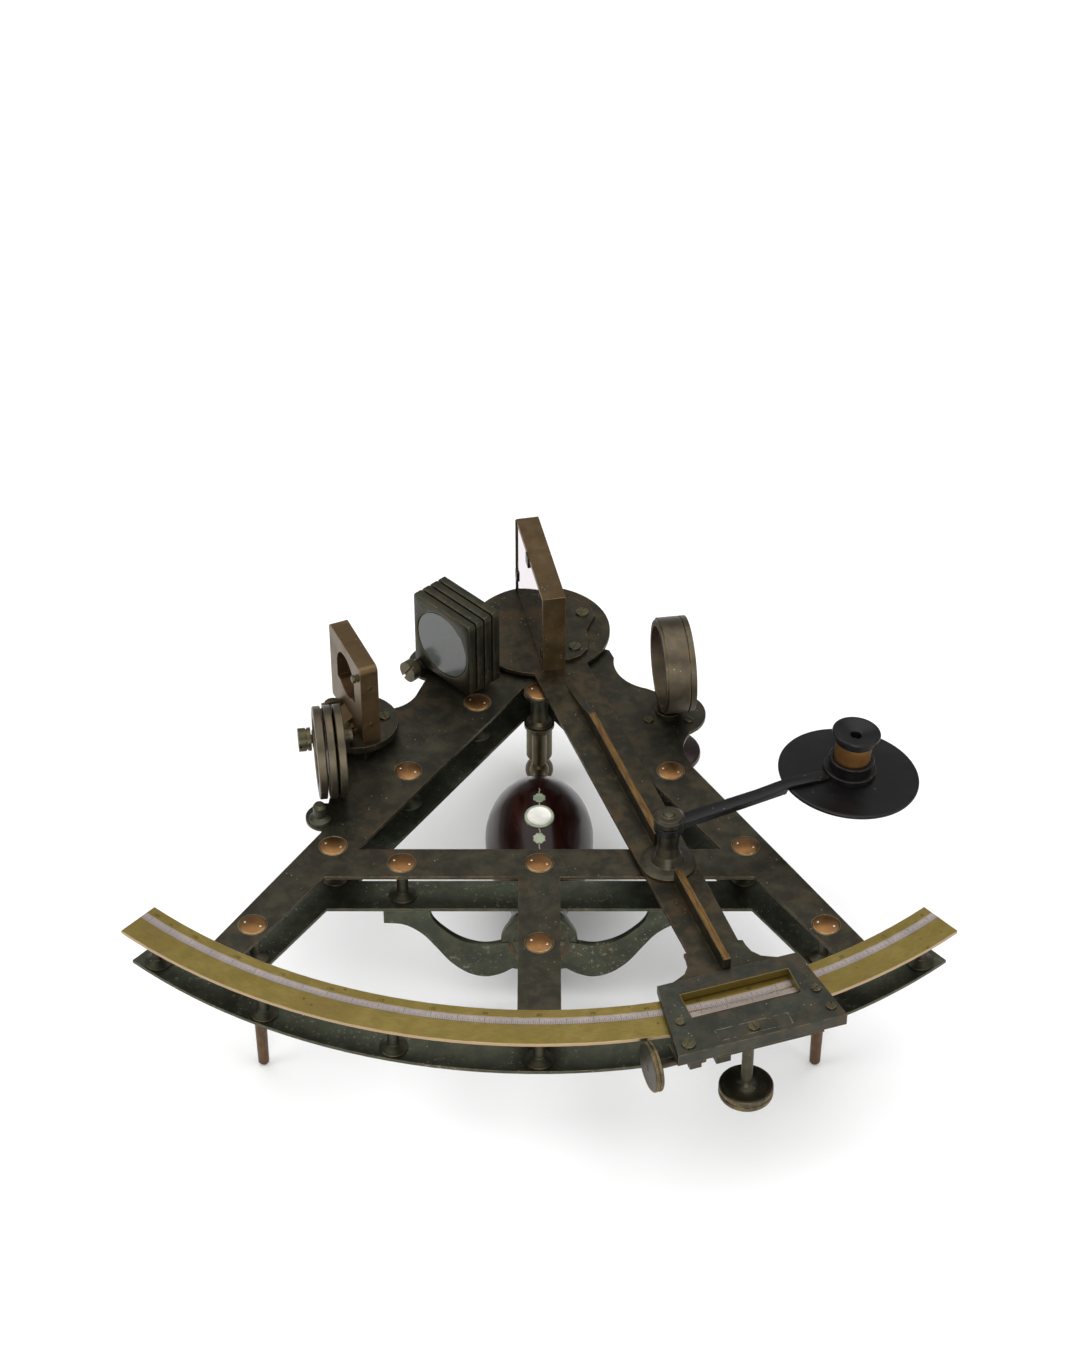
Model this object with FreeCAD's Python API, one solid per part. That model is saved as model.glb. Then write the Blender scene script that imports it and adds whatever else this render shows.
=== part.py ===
"""A double-frame octant: 82 degree arc, index arm, mirrors, hinged shades and a swinging magnifier."""
import FreeCAD
import Part

import math
import os

# While it is built, the index arm turns about X = Y = 0, and heights count from the top face of the limb.
# The last step puts the origin under the middle of the finished object, on the table it stands on.

# Limb and scale
limb_radius = 212.0
limb_width = 15.2
limb_thickness = 1.2
limb_half_angle = 41.0
scale_radius = limb_radius - 8.7
scale_width = 2.9
scale_depth = 0.5

# Two frame plates and what holds them apart
plate_thickness = 1.2
plate_gap = 13.7
upper_rim_radius = limb_radius - 4.0
lower_rim_radius = limb_radius - 3.3
rim_width = 11.5
head_radius = 25.5
arm_outer_top = (54.2, -75.0)
arm_inner_top = (2.0, -25.4)
arm_inner_bar = (62.5, -118.5)
arm_inner_low = (73.0, -133.0)
arm_outer_angle = 33.18
arm_inner_angle = 30.34
arm_overrun = 7.3
bar_top = -118.5
bar_width = 14.0
strut_width = 14.2
pillar_radius = 2.0
flange_radius = 4.8
flange_thickness = 1.0
near_pillar_inset = 29.07
near_pillar_angle = 31.545
arm_pillars = [(70.9, -116.9), (46.5, -77.5), (22.5, -39.5)]
bar_pillar_x = 47.0
bar_pillar_y = -125.5
strut_pillar_y = 47.5 - limb_radius
limb_pillar_radius = limb_radius - 8.6
limb_pillar_angles = [0.0, 13.5, 26.5, 39.0]
screw_head_radius = 4.75
screw_head_height = 1.1
screw_shank_radius = 1.2

# Lobes and scallops of the frame plates
lobe_centre = (48.0, -45.5)
lobe_radius = 12.3
scallop_centre = (43.5, -16.0)
scallop_radius = 16.0
notch_centre = (65.5, -65.0)
notch_radius = 14.0
shade_lobe = (-38.0, -16.0)
shade_lobe_radius = 10.4
mirror_lobe = (-65.4, -57.6)
mirror_lobe_radius = 16.2
left_scallop_centre = (-57.0, -30.5)
left_scallop_radius = 13.0
post_lobe = (-74.5, -101.5)
post_lobe_radius = 6.8

# Feet
rest_height = 67.4
front_foot_top_radius = 2.4
front_foot_tip_radius = 1.9
rear_foot_y = -6.0
rear_foot_radius = 4.9
rear_ball_radius = 5.35
cup_radius = 12.5
cup_wall = 1.8

# Centre bearing and arbor
bearing_radius = 9.0
bearing_flange_radius = 13.0
bearing_flange = 2.0
bearing_length = 20.0
arbor_radius = 5.0
nut_radius = 7.5
nut_thickness = 2.4
running_gap = 0.04
seat_gap = 0.2

# Handle, its stud and its bracket
handle_axis_z = -39.0
handle_far_y = -45.0
handle_near_y = -124.0
stud_y = -33.0
stud_radius = 2.7
stud_ball_radius = 3.6
apex_lug_radius = 5.6
apex_pillar_radius = 3.2
bracket_y = -126.2
bracket_thickness = 2.4
inlay_y = [-71.3, -80.6, -90.0]
inlay_radii = [2.4, 5.3, 2.4]
inlay_depth = 1.2
handle_profile = [(-45.0, 6.0), (-49.5, 11.6), (-57.0, 16.6), (-66.0, 19.2), (-74.0, 19.5), (-83.0, 18.6),
                  (-91.5, 16.4), (-100.0, 13.0), (-107.0, 10.6), (-111.5, 9.7), (-116.0, 10.6),
                  (-120.0, 11.9)]
bracket_boss_radius = 13.4

# Index arm
arm_angle = 18.7
arm_gap = 0.3
arbor_flange_radius = 12.0
arm_thickness = 1.4
disc_radius = 26.4
arm_width_top = 21.0
arm_width_end = 17.7
rib_width = 2.6
rib_height = 5.7
rib_root = 0.5
rib_ramp = [(-28.0, 0.0), (-36.0, 0.6), (-44.0, 1.6), (-52.0, 3.4), (-57.0, 5.0)]
rib_top_start = -59.0
rib_end = -128.0
short_rib_start = -142.0
short_rib_stop = 0.4

# Vernier plate, in the arm's own directions, placed from the limb
vernier_top = 20.5 - limb_radius
vernier_bottom = -limb_radius - 11.0
vernier_half_top = 24.5
vernier_half_bottom = 29.0
vernier_thickness = 3.0
shoulder_profile = [(8.9, 13.0), (10.4, 12.6), (10.5, 10.3), (11.2, 6.9), (13.5, 3.8), (17.0, 2.1),
                    (18.3, 1.5), (18.3, 0.0)]
window_half = 18.8
window_top = 14.4 - limb_radius
window_bottom = 5.4 - limb_radius
window_bevel = 2.4
vernier_scale_width = 2.6
vernier_lip_top = -limb_radius - 2.5
vernier_lip_gap = 0.5
vernier_scale_thickness = 0.7
vernier_screws = [(-23.0, 3.0, 1.7), (24.0, 3.0, 1.7), (-24.0, -7.0, 2.3), (25.5, -6.0, 1.7),
                  (-1.5, -6.5, 1.9)]
vernier_screw_height = 0.6

# Clamp and tangent screw
jaw_left = -14.5
jaw_right = 22.0
jaw_inner = 2.2 - limb_radius
jaw_outer = -limb_radius - 9.6
jaw_top = -1.5
jaw_thickness = 2.2
nut_length = 5.0
nut_half = 3.0
clamp_u = -2.9
clamp_v = -limb_radius - 6.3
clamp_shaft_radius = 1.9
clamp_knob_radius = 9.0
clamp_knob_top = -22.6
clamp_knob_thickness = 4.4
tangent_v = -limb_radius - 4.9
tangent_z = -5.2
tangent_shaft_radius = 1.5
tangent_knob_radius = 8.3
tangent_knob_u = -35.5
tangent_knob_thickness = 3.0
lug_u = -21.5
lug_half = 2.0
lug_reach = 2.8
tangent_travel = 2.0
tangent_end_u = -7.6
groove = 0.5

# Index mirror, on the disc; the glass faces the left side
mirror_turn = 11.3
mirror_length = 50.5
mirror_height = 33.0
mirror_thickness = 8.4
mirror_base_thickness = 1.6
glass_thickness = 2.6
glass_border = 1.8
mirror_offset = (0.5, 0.5)
mirror_base_screws = [((16.7, 4.0), 2.4), ((9.8, -15.5), 2.2)]
mirror_screw_height = 0.8

# Index shades, across the light path from the index mirror to the horizon mirror
shade_angle = 223.8
shade_width = 29.5
shade_height = 31.4
shade_thickness = 3.15
shade_pitch = 3.9
shade_count = 4
shade_outer_face = 46.2
shade_middle = 2.85
shade_bottom = 2.3
shade_corner = 1.2
shade_glass_radius = 12.6
shade_glass_thickness = 1.8
shade_pin_inset = 2.4
shade_pin_drop = 0.8
shade_lug_radius = 2.4
shade_pin_radius = 1.5
shade_ear_thickness = 2.6
shade_ear_gap = 0.4
shade_nut_radius = 2.4
shade_nut_thickness = 1.6
shade_pin_head_radius = 4.0
shade_pin_head = 3.4

# Horizon mirror
horizon_centre = (-65.6, -54.5)
horizon_disc_centre = (-65.4, -57.6)
horizon_disc_radius = 15.0
horizon_block_half = 10.0
horizon_disc_thickness = 2.6
horizon_block_thickness = 3.8
horizon_turn = 23.7
horizon_length = 30.8
horizon_height = 32.6
horizon_thickness = 6.6
horizon_foot_thickness = 1.8
horizon_foot_depth = 6.6
horizon_foot_half = 9.4
horizon_foot_chamfer = (2.2, 3.9)
horizon_wedge_depth = 3.4
horizon_wedge_height = 3.0
horizon_wedge_side = (-5.2, 3.0)
horizon_wedge_edge = 0.4
clip_screw_place = (-55.6, -55.2)
horizon_block_turn = 60.0
window_radius = 8.6

# Horizon shades, swung out of the line of sight
sight_turn = 8.5
ring_radius = 16.3
ring_thickness = 3.1
ring_pitch = 3.55
ring_count = 3
ring_middle = (-76.3, 85.0)
ring_glass_radius = 13.2
ring_glass_thickness = 1.8
ring_pin_z = 8.8
ring_reach = 19.0
ring_out_angle = 155.1
ring_lug_radius = 3.2
ring_pin_radius = 1.6
ring_ear_gap = 0.35
ring_ear_thickness = 2.6
ring_ear_half = 3.0
ring_nut_radius = 2.7
ring_nut_thickness = 1.2
ring_screw_radius = 4.2
ring_screw_length = 4.5
ring_screw_neck = 1.3
stop_post = (-76.1, -103.8)
stop_post_height = 7.6

# Telescope collar
collar_centre = (46.8, -45.3)
collar_axis_z = 21.0
collar_radius = 17.4
collar_bore = 14.6
collar_left = 4.2
collar_right = 4.2
collar_far = 6.6
stem_radius = 2.8
sleeve_radius = 4.8
sleeve_top = 1.0
sleeve_flange_radius = 11.0
sleeve_screw_circle = 8.4
sleeve_flange = 1.6
knob_radius = 12.2
knob_thickness = 4.4
knob_gap = 0.3
stem_tail = 7.4

# Magnifier
post_distance = 136.0
post_base_radius = 9.6
post_waist_radius = 3.6
post_top = 20.4
cap_radius = 5.2
cap_thickness = 3.4
swing_angle = 24.4
swing_length = 69.0
swing_drop = 0.6
swing_width = 5.0
swing_width_end = 4.8
swing_thickness = 3.0
reflector_tilt = 6.0
reflector_radius = 24.5
reflector_thickness = 1.3
barrel_radius = 7.2
barrel_collar_radius = 9.2
barrel_height = 8.0
tube_radius = 6.3
tube_wall = 1.1
tube_height = 12.5
eyepiece_radius = 8.4
eyepiece_thickness = 4.6
eye_hole_radius = 2.0
lens_thickness = 2.4

# Small slotted screws
small_screw_radius = 1.7
small_screw_height = 0.7
small_screw_depth = 2.4

parts = {}
up = FreeCAD.Vector(0, 0, 1)
centre_line = FreeCAD.Vector(0, 0, 0)
upper_top = -limb_thickness
upper_bottom = upper_top - plate_thickness
lower_top = upper_bottom - plate_gap
lower_bottom = lower_top - plate_thickness
bar_bottom = bar_top - bar_width


def disc(radius, bottom, height, at=(0.0, 0.0)):
    return Part.makeCylinder(radius, height, FreeCAD.Vector(at[0], at[1], bottom))


def rod(radius, start, direction, length):
    return Part.makeCylinder(radius, length, start, direction)


def block(x0, x1, y0, y1, z0, z1):
    return Part.makeBox(x1 - x0, y1 - y0, z1 - z0, FreeCAD.Vector(x0, y0, z0))


def prism(points, bottom, height):
    corners = [FreeCAD.Vector(x, y, bottom) for x, y in points]
    face = Part.Face(Part.makePolygon(corners + corners[:1]))
    return face.extrude(FreeCAD.Vector(0, 0, height))


def sector(inner, outer, half_angle, bottom, height):
    """A piece of a flat ring about the arm's centre, with its middle towards the front."""
    start = FreeCAD.Vector(0, 0, bottom)
    pie = Part.makeCylinder(outer, height, start, up, 2 * half_angle)
    pie.rotate(centre_line, up, -90 - half_angle)
    return pie.cut(disc(inner, bottom - 1, height + 2))


def turned(profile, at=(0.0, 0.0)):
    """A solid of revolution about a vertical line, from (radius, height) points, closed on the line."""
    points = [FreeCAD.Vector(0, 0, profile[0][1])]
    points += [FreeCAD.Vector(radius, 0, height) for radius, height in profile if radius > 0]
    points.append(FreeCAD.Vector(0, 0, profile[-1][1]))
    face = Part.Face(Part.makePolygon(points + points[:1]))
    solid = face.revolve(centre_line, up, 360)
    solid.translate(FreeCAD.Vector(at[0], at[1], 0))
    return solid


def joined(shapes):
    return shapes[0].multiFuse(shapes[1:]).removeSplitter()


def group(shapes):
    return Part.makeCompound(shapes)


def about(radius, angle):
    """A point on a circle about the centre, at an angle from the front towards the right."""
    return (radius * math.sin(math.radians(angle)), -radius * math.cos(math.radians(angle)))


def both_sides(points):
    return points + [(-x, y) for x, y in points]


def dome_head(at, base, radius, height, shank_bottom):
    """A low domed screw head with a rim, two spanner holes and its shank."""
    crown = (radius * radius + height * height) / (2 * height)
    ball = Part.makeSphere(crown, FreeCAD.Vector(at[0], at[1], base + height - crown))
    head = ball.common(disc(radius, base, height, at))
    shank = disc(screw_shank_radius, shank_bottom, base - shank_bottom + height / 2, at)
    head = head.fuse(shank)
    for side in (-1, 1):
        spot = (at[0] + side * radius * 0.55, at[1] - side * radius * 0.2)
        head = head.cut(disc(0.45, base + height * 0.3, height, spot))
    return head


def slot_head(at, base, radius, height, depth, turn=0.0):
    """A small cheese-head screw with a slot, sunk into what it holds."""
    head = disc(radius, base - depth, height + depth, at)
    half = radius * 0.13
    slot = block(-radius - 1, radius + 1, -half, half, base + height * 0.45, base + height + 1)
    slot.rotate(centre_line, up, turn)
    slot.translate(FreeCAD.Vector(at[0], at[1], 0))
    return head.cut(slot)


def near_pillar_place():
    """The arm pillar nearest the limb, over the front foot."""
    return about(limb_radius - near_pillar_inset, near_pillar_angle)


def pillar_places():
    places = both_sides([near_pillar_place()] + arm_pillars)
    places += both_sides([(bar_pillar_x, bar_pillar_y)])
    places += [(0.0, bar_pillar_y), (0.0, strut_pillar_y), (0.0, stud_y)]
    return places


def plate_screw_places():
    """Screws through the upper plate: three round the telescope collar's sleeve."""
    places = []
    for angle in (90, 210, 330):
        x = collar_centre[0] + sleeve_screw_circle * math.cos(math.radians(angle))
        y = collar_centre[1] + sleeve_screw_circle * math.sin(math.radians(angle))
        places.append((x, y))
    return places


def limb_pillar_places():
    places = [about(limb_pillar_radius, angle) for angle in limb_pillar_angles if angle > 0]
    return both_sides(places) + [about(limb_pillar_radius, 0.0)]


def arm_outline(side):
    """One straight arm of a frame plate, from the head down past the rim."""
    outer_end = about(limb_radius + arm_overrun, arm_outer_angle)
    inner_end = about(limb_radius + arm_overrun, arm_inner_angle)
    slope = (outer_end[0] - arm_outer_top[0]) / (outer_end[1] - arm_outer_top[1])
    head_y = -head_radius * 0.6
    head_x = arm_outer_top[0] + (head_y - arm_outer_top[1]) * slope
    points = [(0.0, head_y), (head_x, head_y), arm_outer_top, outer_end, inner_end]
    points += [(arm_inner_low[0], bar_bottom), (arm_inner_bar[0], bar_top), arm_inner_top]
    return [(side * x, y) for x, y in points]


def plate_blank(top, rim_radius):
    """The plan shared by both frame plates: head, two arms, crossbar, strut and rim."""
    bottom = top - plate_thickness
    shapes = [disc(head_radius, bottom, plate_thickness)]
    shapes.append(disc(apex_lug_radius, bottom, plate_thickness, (0.0, stud_y)))
    shapes.append(block(-apex_lug_radius, apex_lug_radius, stud_y, 0.0, bottom, top))
    shapes += [prism(arm_outline(side), bottom, plate_thickness) for side in (1, -1)]
    shapes.append(block(-arm_inner_low[0], arm_inner_low[0], bar_bottom, bar_top, bottom, top))
    shapes.append(block(-strut_width / 2, strut_width / 2, -rim_radius + rim_width / 2, bar_top, bottom, top))
    shapes.append(sector(rim_radius - rim_width, rim_radius, limb_half_angle, bottom, plate_thickness))
    whole = joined(shapes)
    return whole.common(disc(rim_radius, bottom, plate_thickness))


def plate_holes(places, radius, top):
    return [disc(radius, top - plate_thickness - 1, plate_thickness + 2, at) for at in places]


def upper_frame():
    bottom = upper_bottom
    right_web = [(0.0, 0.0), (26.0, -9.0), (33.0, -28.0), (43.0, -33.5), lobe_centre, (54.0, -57.0),
                 arm_outer_top, (40.0, -75.0)]
    left_web = [(0.0, 0.0), (-22.0, -2.0), shade_lobe, (-44.5, -34.0), (-54.0, -44.0), mirror_lobe,
                (-78.0, -66.0), (-73.0, -88.0), post_lobe, (-75.4, -110.0), (-60.0, -110.0), (-30.0, -60.0)]
    shapes = [plate_blank(upper_top, upper_rim_radius)]
    shapes.append(prism(right_web, bottom, plate_thickness))
    shapes.append(prism(left_web, bottom, plate_thickness))
    lobes = [(lobe_centre, lobe_radius), (shade_lobe, shade_lobe_radius), (mirror_lobe, mirror_lobe_radius),
             (post_lobe, post_lobe_radius)]
    shapes += [disc(radius, bottom, plate_thickness, at) for at, radius in lobes]
    whole = joined(shapes)
    cuts = plate_holes([scallop_centre], scallop_radius, upper_top)
    cuts += plate_holes([notch_centre], notch_radius, upper_top)
    cuts += plate_holes([left_scallop_centre], left_scallop_radius, upper_top)
    cuts += plate_holes([(0.0, 0.0)], bearing_radius, upper_top)
    cuts += plate_holes(pillar_places(), screw_shank_radius, upper_top)
    cuts += plate_holes([collar_centre], sleeve_radius, upper_top)
    cuts += plate_holes(plate_screw_places(), screw_shank_radius, upper_top)
    return whole.cut(cuts)


def lower_frame():
    whole = plate_blank(lower_top, lower_rim_radius)
    return whole.cut(plate_holes([(0.0, 0.0)], bearing_radius, lower_top))


def limb():
    ring = sector(limb_radius - limb_width, limb_radius, limb_half_angle, -limb_thickness, limb_thickness)
    slot = sector(scale_radius - scale_width, scale_radius, limb_half_angle + 1, -scale_depth,
                  scale_depth + 1)
    return ring.cut(slot)


def silver_scale():
    return sector(scale_radius - scale_width, scale_radius, limb_half_angle, -scale_depth, scale_depth)


def pillar(at, top, bottom):
    radius = apex_pillar_radius if at == (0.0, stud_y) else pillar_radius
    shaft = disc(radius, bottom, top - bottom, at)
    foot = turned([(flange_radius, bottom), (flange_radius, bottom + flange_thickness * 0.6),
                   (flange_radius - 0.8, bottom + flange_thickness), (radius, bottom + 2.2)], at)
    collar = disc(radius + 1.2, top - flange_thickness, flange_thickness, at)
    whole = joined([shaft, foot, collar])
    return whole.cut(disc(screw_shank_radius, top - 4.0, 5.0, at))


def frame_pillars():
    places = pillar_places() + limb_pillar_places()
    return group([pillar(at, upper_bottom, lower_top) for at in places])


def pillar_screws():
    heads = [dome_head(at, upper_top, screw_head_radius, screw_head_height, upper_bottom - 4.0)
             for at in pillar_places()]
    return group(heads)


def front_feet():
    feet = []
    for at in both_sides([near_pillar_place()]):
        profile = [(flange_radius, lower_bottom), (flange_radius, lower_bottom - 1.2),
                   (front_foot_top_radius, lower_bottom - 2.6),
                   (front_foot_tip_radius, -rest_height + 1.2),
                   (front_foot_tip_radius * 0.7, -rest_height + 0.3),
                   (front_foot_tip_radius * 0.35, -rest_height)]
        feet.append(turned(profile, at))
    return group(feet)


def rear_foot():
    at = (0.0, rear_foot_y)
    cup_bottom = lower_bottom - cup_depth()
    cup = disc(cup_radius, cup_bottom, lower_bottom - cup_bottom)
    cup = cup.cut(disc(cup_radius - cup_wall, cup_bottom + cup_wall, cup_depth()))
    ball_z = -rest_height + rear_ball_radius
    neck = rear_foot_radius * 0.72
    profile = [(rear_foot_radius * 1.3, cup_bottom), (rear_foot_radius * 1.3, cup_bottom - 1.4),
               (neck, cup_bottom - 3.2), (rear_foot_radius, cup_bottom - 6.0),
               (rear_foot_radius, ball_z + rear_ball_radius + 2.4), (neck, ball_z + rear_ball_radius),
               (neck, ball_z)]
    ball = Part.makeSphere(rear_ball_radius, FreeCAD.Vector(at[0], at[1], ball_z))
    return joined([cup, turned(profile, at), ball])


def cup_depth():
    """The cup under the lower plate holds the bearing's end, its nut and a little air."""
    bearing_bottom = upper_bottom - bearing_length
    return lower_bottom - bearing_bottom + nut_thickness + 2 * seat_gap + 0.8 + cup_wall


def centre_bearing():
    bottom = upper_bottom - bearing_length
    tube = disc(bearing_radius, bottom, -bottom + upper_top)
    flange = disc(bearing_flange_radius, upper_bottom - bearing_flange, bearing_flange)
    bore = disc(arbor_radius + running_gap, bottom - 1, -bottom + 2)
    return joined([tube, flange]).cut(bore)


def handle():
    points = [FreeCAD.Vector(0, handle_far_y, 0)]
    outline = [FreeCAD.Vector(radius, y, 0) for y, radius in handle_profile]
    curve = Part.BSplineCurve()
    curve.interpolate(outline)
    front = FreeCAD.Vector(0, handle_near_y + 1.0, 0)
    shoulder = FreeCAD.Vector(handle_profile[-1][1] * 0.9, handle_near_y + 1.0, 0)
    edges = [Part.makeLine(points[0], outline[0]), curve.toShape(), Part.makeLine(outline[-1], shoulder),
             Part.makeLine(shoulder, front), Part.makeLine(front, points[0])]
    solid = Part.Face(Part.Wire(edges)).revolve(centre_line, FreeCAD.Vector(0, 1, 0), 360)
    solid.translate(FreeCAD.Vector(0, 0, handle_axis_z))
    return solid.cut(inlay_pegs())


def inlay_pegs():
    """Short upright pegs that stand just proud of the handle's top."""
    pegs = []
    for y, radius in zip(inlay_y, inlay_radii):
        surface = handle_axis_z + handle_radius(y)
        depth = inlay_depth + radius * 0.5
        pegs.append(disc(radius, surface - depth, depth + 0.25, (0.0, y)))
    return pegs


def handle_radius(y):
    """The handle's radius at a place along it, from straight lines between its outline's points."""
    for (y0, r0), (y1, r1) in zip(handle_profile, handle_profile[1:]):
        if y1 <= y <= y0:
            return r0 + (r1 - r0) * (y - y0) / (y1 - y0)
    return handle_profile[0][1]


def handle_stud():
    ball_z = handle_axis_z
    profile = [(flange_radius, lower_bottom), (flange_radius, lower_bottom - 1.6),
               (stud_radius, lower_bottom - 3.0),
               (stud_radius, ball_z + stud_ball_radius + 1.0), (stud_radius * 0.7, ball_z + stud_ball_radius),
               (stud_radius * 0.7, ball_z)]
    ball = Part.makeSphere(stud_ball_radius, FreeCAD.Vector(0, stud_y, ball_z))
    peg = rod(2.2, FreeCAD.Vector(0, stud_y, ball_z), FreeCAD.Vector(0, -1, 0), stud_y - handle_far_y)
    return joined([turned(profile, (0.0, stud_y)), ball, peg])


def handle_bracket():
    """A double swag in an upright plane under the crossbar, with a round boss for the handle's end."""
    lower = [(-54.0, -29.0), (-47.0, -29.8), (-41.0, -34.0), (-36.5, -40.0), (-31.0, -48.0), (-25.0, -53.2),
             (-19.0, -55.0), (-13.5, -53.6), (-9.5, -51.0)]
    upper = [(-39.0, lower_bottom), (-37.0, -27.0), (-32.0, -33.5), (-26.0, -38.0), (-19.0, -40.0),
             (-12.0, -38.6)]
    left = [(-54.0, lower_bottom)] + lower + [(0.0, -52.4), (0.0, -36.0)] + upper[::-1]
    halves = []
    for side in (-1, 1):
        corners = [FreeCAD.Vector(-side * x, bracket_y, z) for x, z in left]
        face = Part.Face(Part.makePolygon(corners + corners[:1]))
        halves.append(face.extrude(FreeCAD.Vector(0, bracket_thickness, 0)))
    boss = rod(bracket_boss_radius, FreeCAD.Vector(0, bracket_y, handle_axis_z), FreeCAD.Vector(0, 1, 0),
               bracket_thickness + 0.8)
    return joined(halves + [boss])


def stood(shape, turn, at=(0.0, 0.0)):
    """The shape turned about a vertical line through the centre, then moved in plan."""
    shape.rotate(centre_line, up, turn)
    shape.translate(FreeCAD.Vector(at[0], at[1], 0))
    return shape


def on_arm(shape):
    return stood(shape, arm_angle)


def sleeve_bottom():
    return lower_bottom


def collar_base():
    tube = disc(sleeve_radius, sleeve_bottom(), sleeve_top - sleeve_bottom(), collar_centre)
    flange = disc(sleeve_flange_radius, upper_bottom - sleeve_flange, sleeve_flange, collar_centre)
    length = sleeve_top - sleeve_bottom()
    bore = disc(stem_radius + running_gap, sleeve_bottom() - 1, length + 2, collar_centre)
    holes = [disc(screw_shank_radius, upper_bottom - 5, 6, at) for at in plate_screw_places()]
    return joined([tube, flange]).cut([bore] + holes)


def collar_tube(radius, x0, x1):
    return rod(radius, FreeCAD.Vector(x0, 0, collar_axis_z), FreeCAD.Vector(1, 0, 0), x1 - x0)


def collar_stem():
    bottom = sleeve_bottom() - knob_gap - knob_thickness - stem_tail
    stem = disc(stem_radius, bottom, collar_axis_z - bottom)
    shoulder = disc(stem_radius + 1.4, sleeve_top + 0.6, collar_axis_z - sleeve_top)
    whole = joined([stem, shoulder]).cut(collar_tube(collar_radius, -30, 30))
    whole = whole.common(block(-10, 10, -10, 10, bottom, collar_axis_z - collar_bore))
    return stood(whole, sight_turn, collar_centre)


def collar_ring_front():
    ring = collar_tube(collar_radius, -collar_left, collar_right).cut(collar_tube(collar_bore, -20, 20))
    rim = collar_tube(collar_radius + 1, -collar_left, -collar_left + 0.8)
    ring = ring.cut(rim.cut(collar_tube(collar_radius - 0.8, -20, 20)))
    return stood(ring, sight_turn, collar_centre)


def collar_ring_back():
    ring = collar_tube(collar_radius, collar_right, collar_far).cut(collar_tube(collar_bore, -20, 20))
    seam = collar_tube(collar_radius + 1, collar_right, collar_right + 0.5)
    ring = ring.cut(seam.cut(collar_tube(collar_radius - 0.7, -20, 20)))
    return stood(ring, sight_turn, collar_centre)


def collar_knob():
    top = sleeve_bottom() - knob_gap
    profile = [(knob_radius * 0.55, top), (knob_radius - 0.8, top - 0.8), (knob_radius, top - 1.6),
               (knob_radius, top - knob_thickness + 1.2), (knob_radius - 1.0, top - knob_thickness)]
    knob = turned(profile, collar_centre)
    bottom = top - knob_thickness
    return knob.cut(disc(stem_radius + running_gap, bottom - 1, knob_thickness + 2, collar_centre))


def horizon_top():
    return upper_top + horizon_block_thickness + horizon_disc_thickness


def horizon_base():
    half = horizon_block_half
    foot = block(-half, half, -half, half, upper_top, upper_top + horizon_block_thickness)
    foot = stood(foot, horizon_block_turn, horizon_disc_centre)
    plate = disc(horizon_disc_radius, upper_top + horizon_block_thickness, horizon_disc_thickness,
                 horizon_disc_centre)
    return joined([foot, plate])


def horizon_mirror_frame():
    """An upright frame with an arched window; its foot runs back over the base disc."""
    low = horizon_top()
    half = horizon_length / 2
    body = block(-horizon_thickness / 2, horizon_thickness / 2, -half, half, low, low + horizon_height)
    corners = [edge for edge in body.Edges
               if edge.BoundBox.XLength > 1 and edge.BoundBox.ZMin > low + 1 and edge.BoundBox.YLength < 1]
    body = body.makeFillet(2.2, corners)
    back = -horizon_thickness / 2
    reach = back - horizon_foot_depth
    side = horizon_foot_half
    cut_x, cut_y = horizon_foot_chamfer
    foot = prism([(back, -side), (back, side), (reach, side), (reach, -side + cut_y), (reach + cut_x, -side)],
                 low, horizon_foot_thickness)
    cuts = [window_solid(window_radius, -10, 10), glass_solid()]
    return stood(joined([body, foot, foot_wedge()]).cut(cuts), horizon_turn, horizon_centre)


def foot_wedge():
    """A sloping strip in the corner between the mirror's back and its foot, between the two foot screws."""
    back = -horizon_thickness / 2
    low = horizon_top() + horizon_foot_thickness - horizon_wedge_edge
    start, stop = horizon_wedge_side
    outline = [(back + horizon_wedge_edge, low), (back + horizon_wedge_edge, low + horizon_wedge_height),
               (back, low + horizon_wedge_height), (back - horizon_wedge_depth, low + 2 * horizon_wedge_edge),
               (back - horizon_wedge_depth, low)]
    corners = [FreeCAD.Vector(x, start, z) for x, z in outline]
    face = Part.Face(Part.makePolygon(corners + corners[:1]))
    return face.extrude(FreeCAD.Vector(0, stop - start, 0))


def window_solid(radius, x0, x1):
    middle = horizon_top() + horizon_height - 13.0
    arch = rod(radius, FreeCAD.Vector(x0, 0, middle), FreeCAD.Vector(1, 0, 0), x1 - x0)
    return arch.fuse(block(x0, x1, -radius, radius, middle - 6.3, middle))


def glass_solid():
    """The glass lies in a pocket that opens towards the index mirror."""
    middle = horizon_top() + horizon_height - 13.0
    front = horizon_thickness / 2
    reach = window_radius + 1.9
    return block(front - 2.4, front, -reach, reach, middle - 8.6, middle + reach)


def horizon_glass():
    return stood(glass_solid(), horizon_turn, horizon_centre)


def sight_frame(shape):
    """From the shade ring's own directions, with Y along the line of sight, to the object's."""
    return stood(shape, 90 + sight_turn)


def ring_place(number):
    return ring_middle[1] + (number - (ring_count - 1) / 2) * ring_pitch


def ring_pin_side():
    return ring_middle[0] - ring_reach * math.cos(math.radians(ring_out_angle))


def across(radius, side, height, start, length):
    """A rod along local Y, at a place across it and a height."""
    return rod(radius, FreeCAD.Vector(side, start, height), FreeCAD.Vector(0, 1, 0), length)


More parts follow.
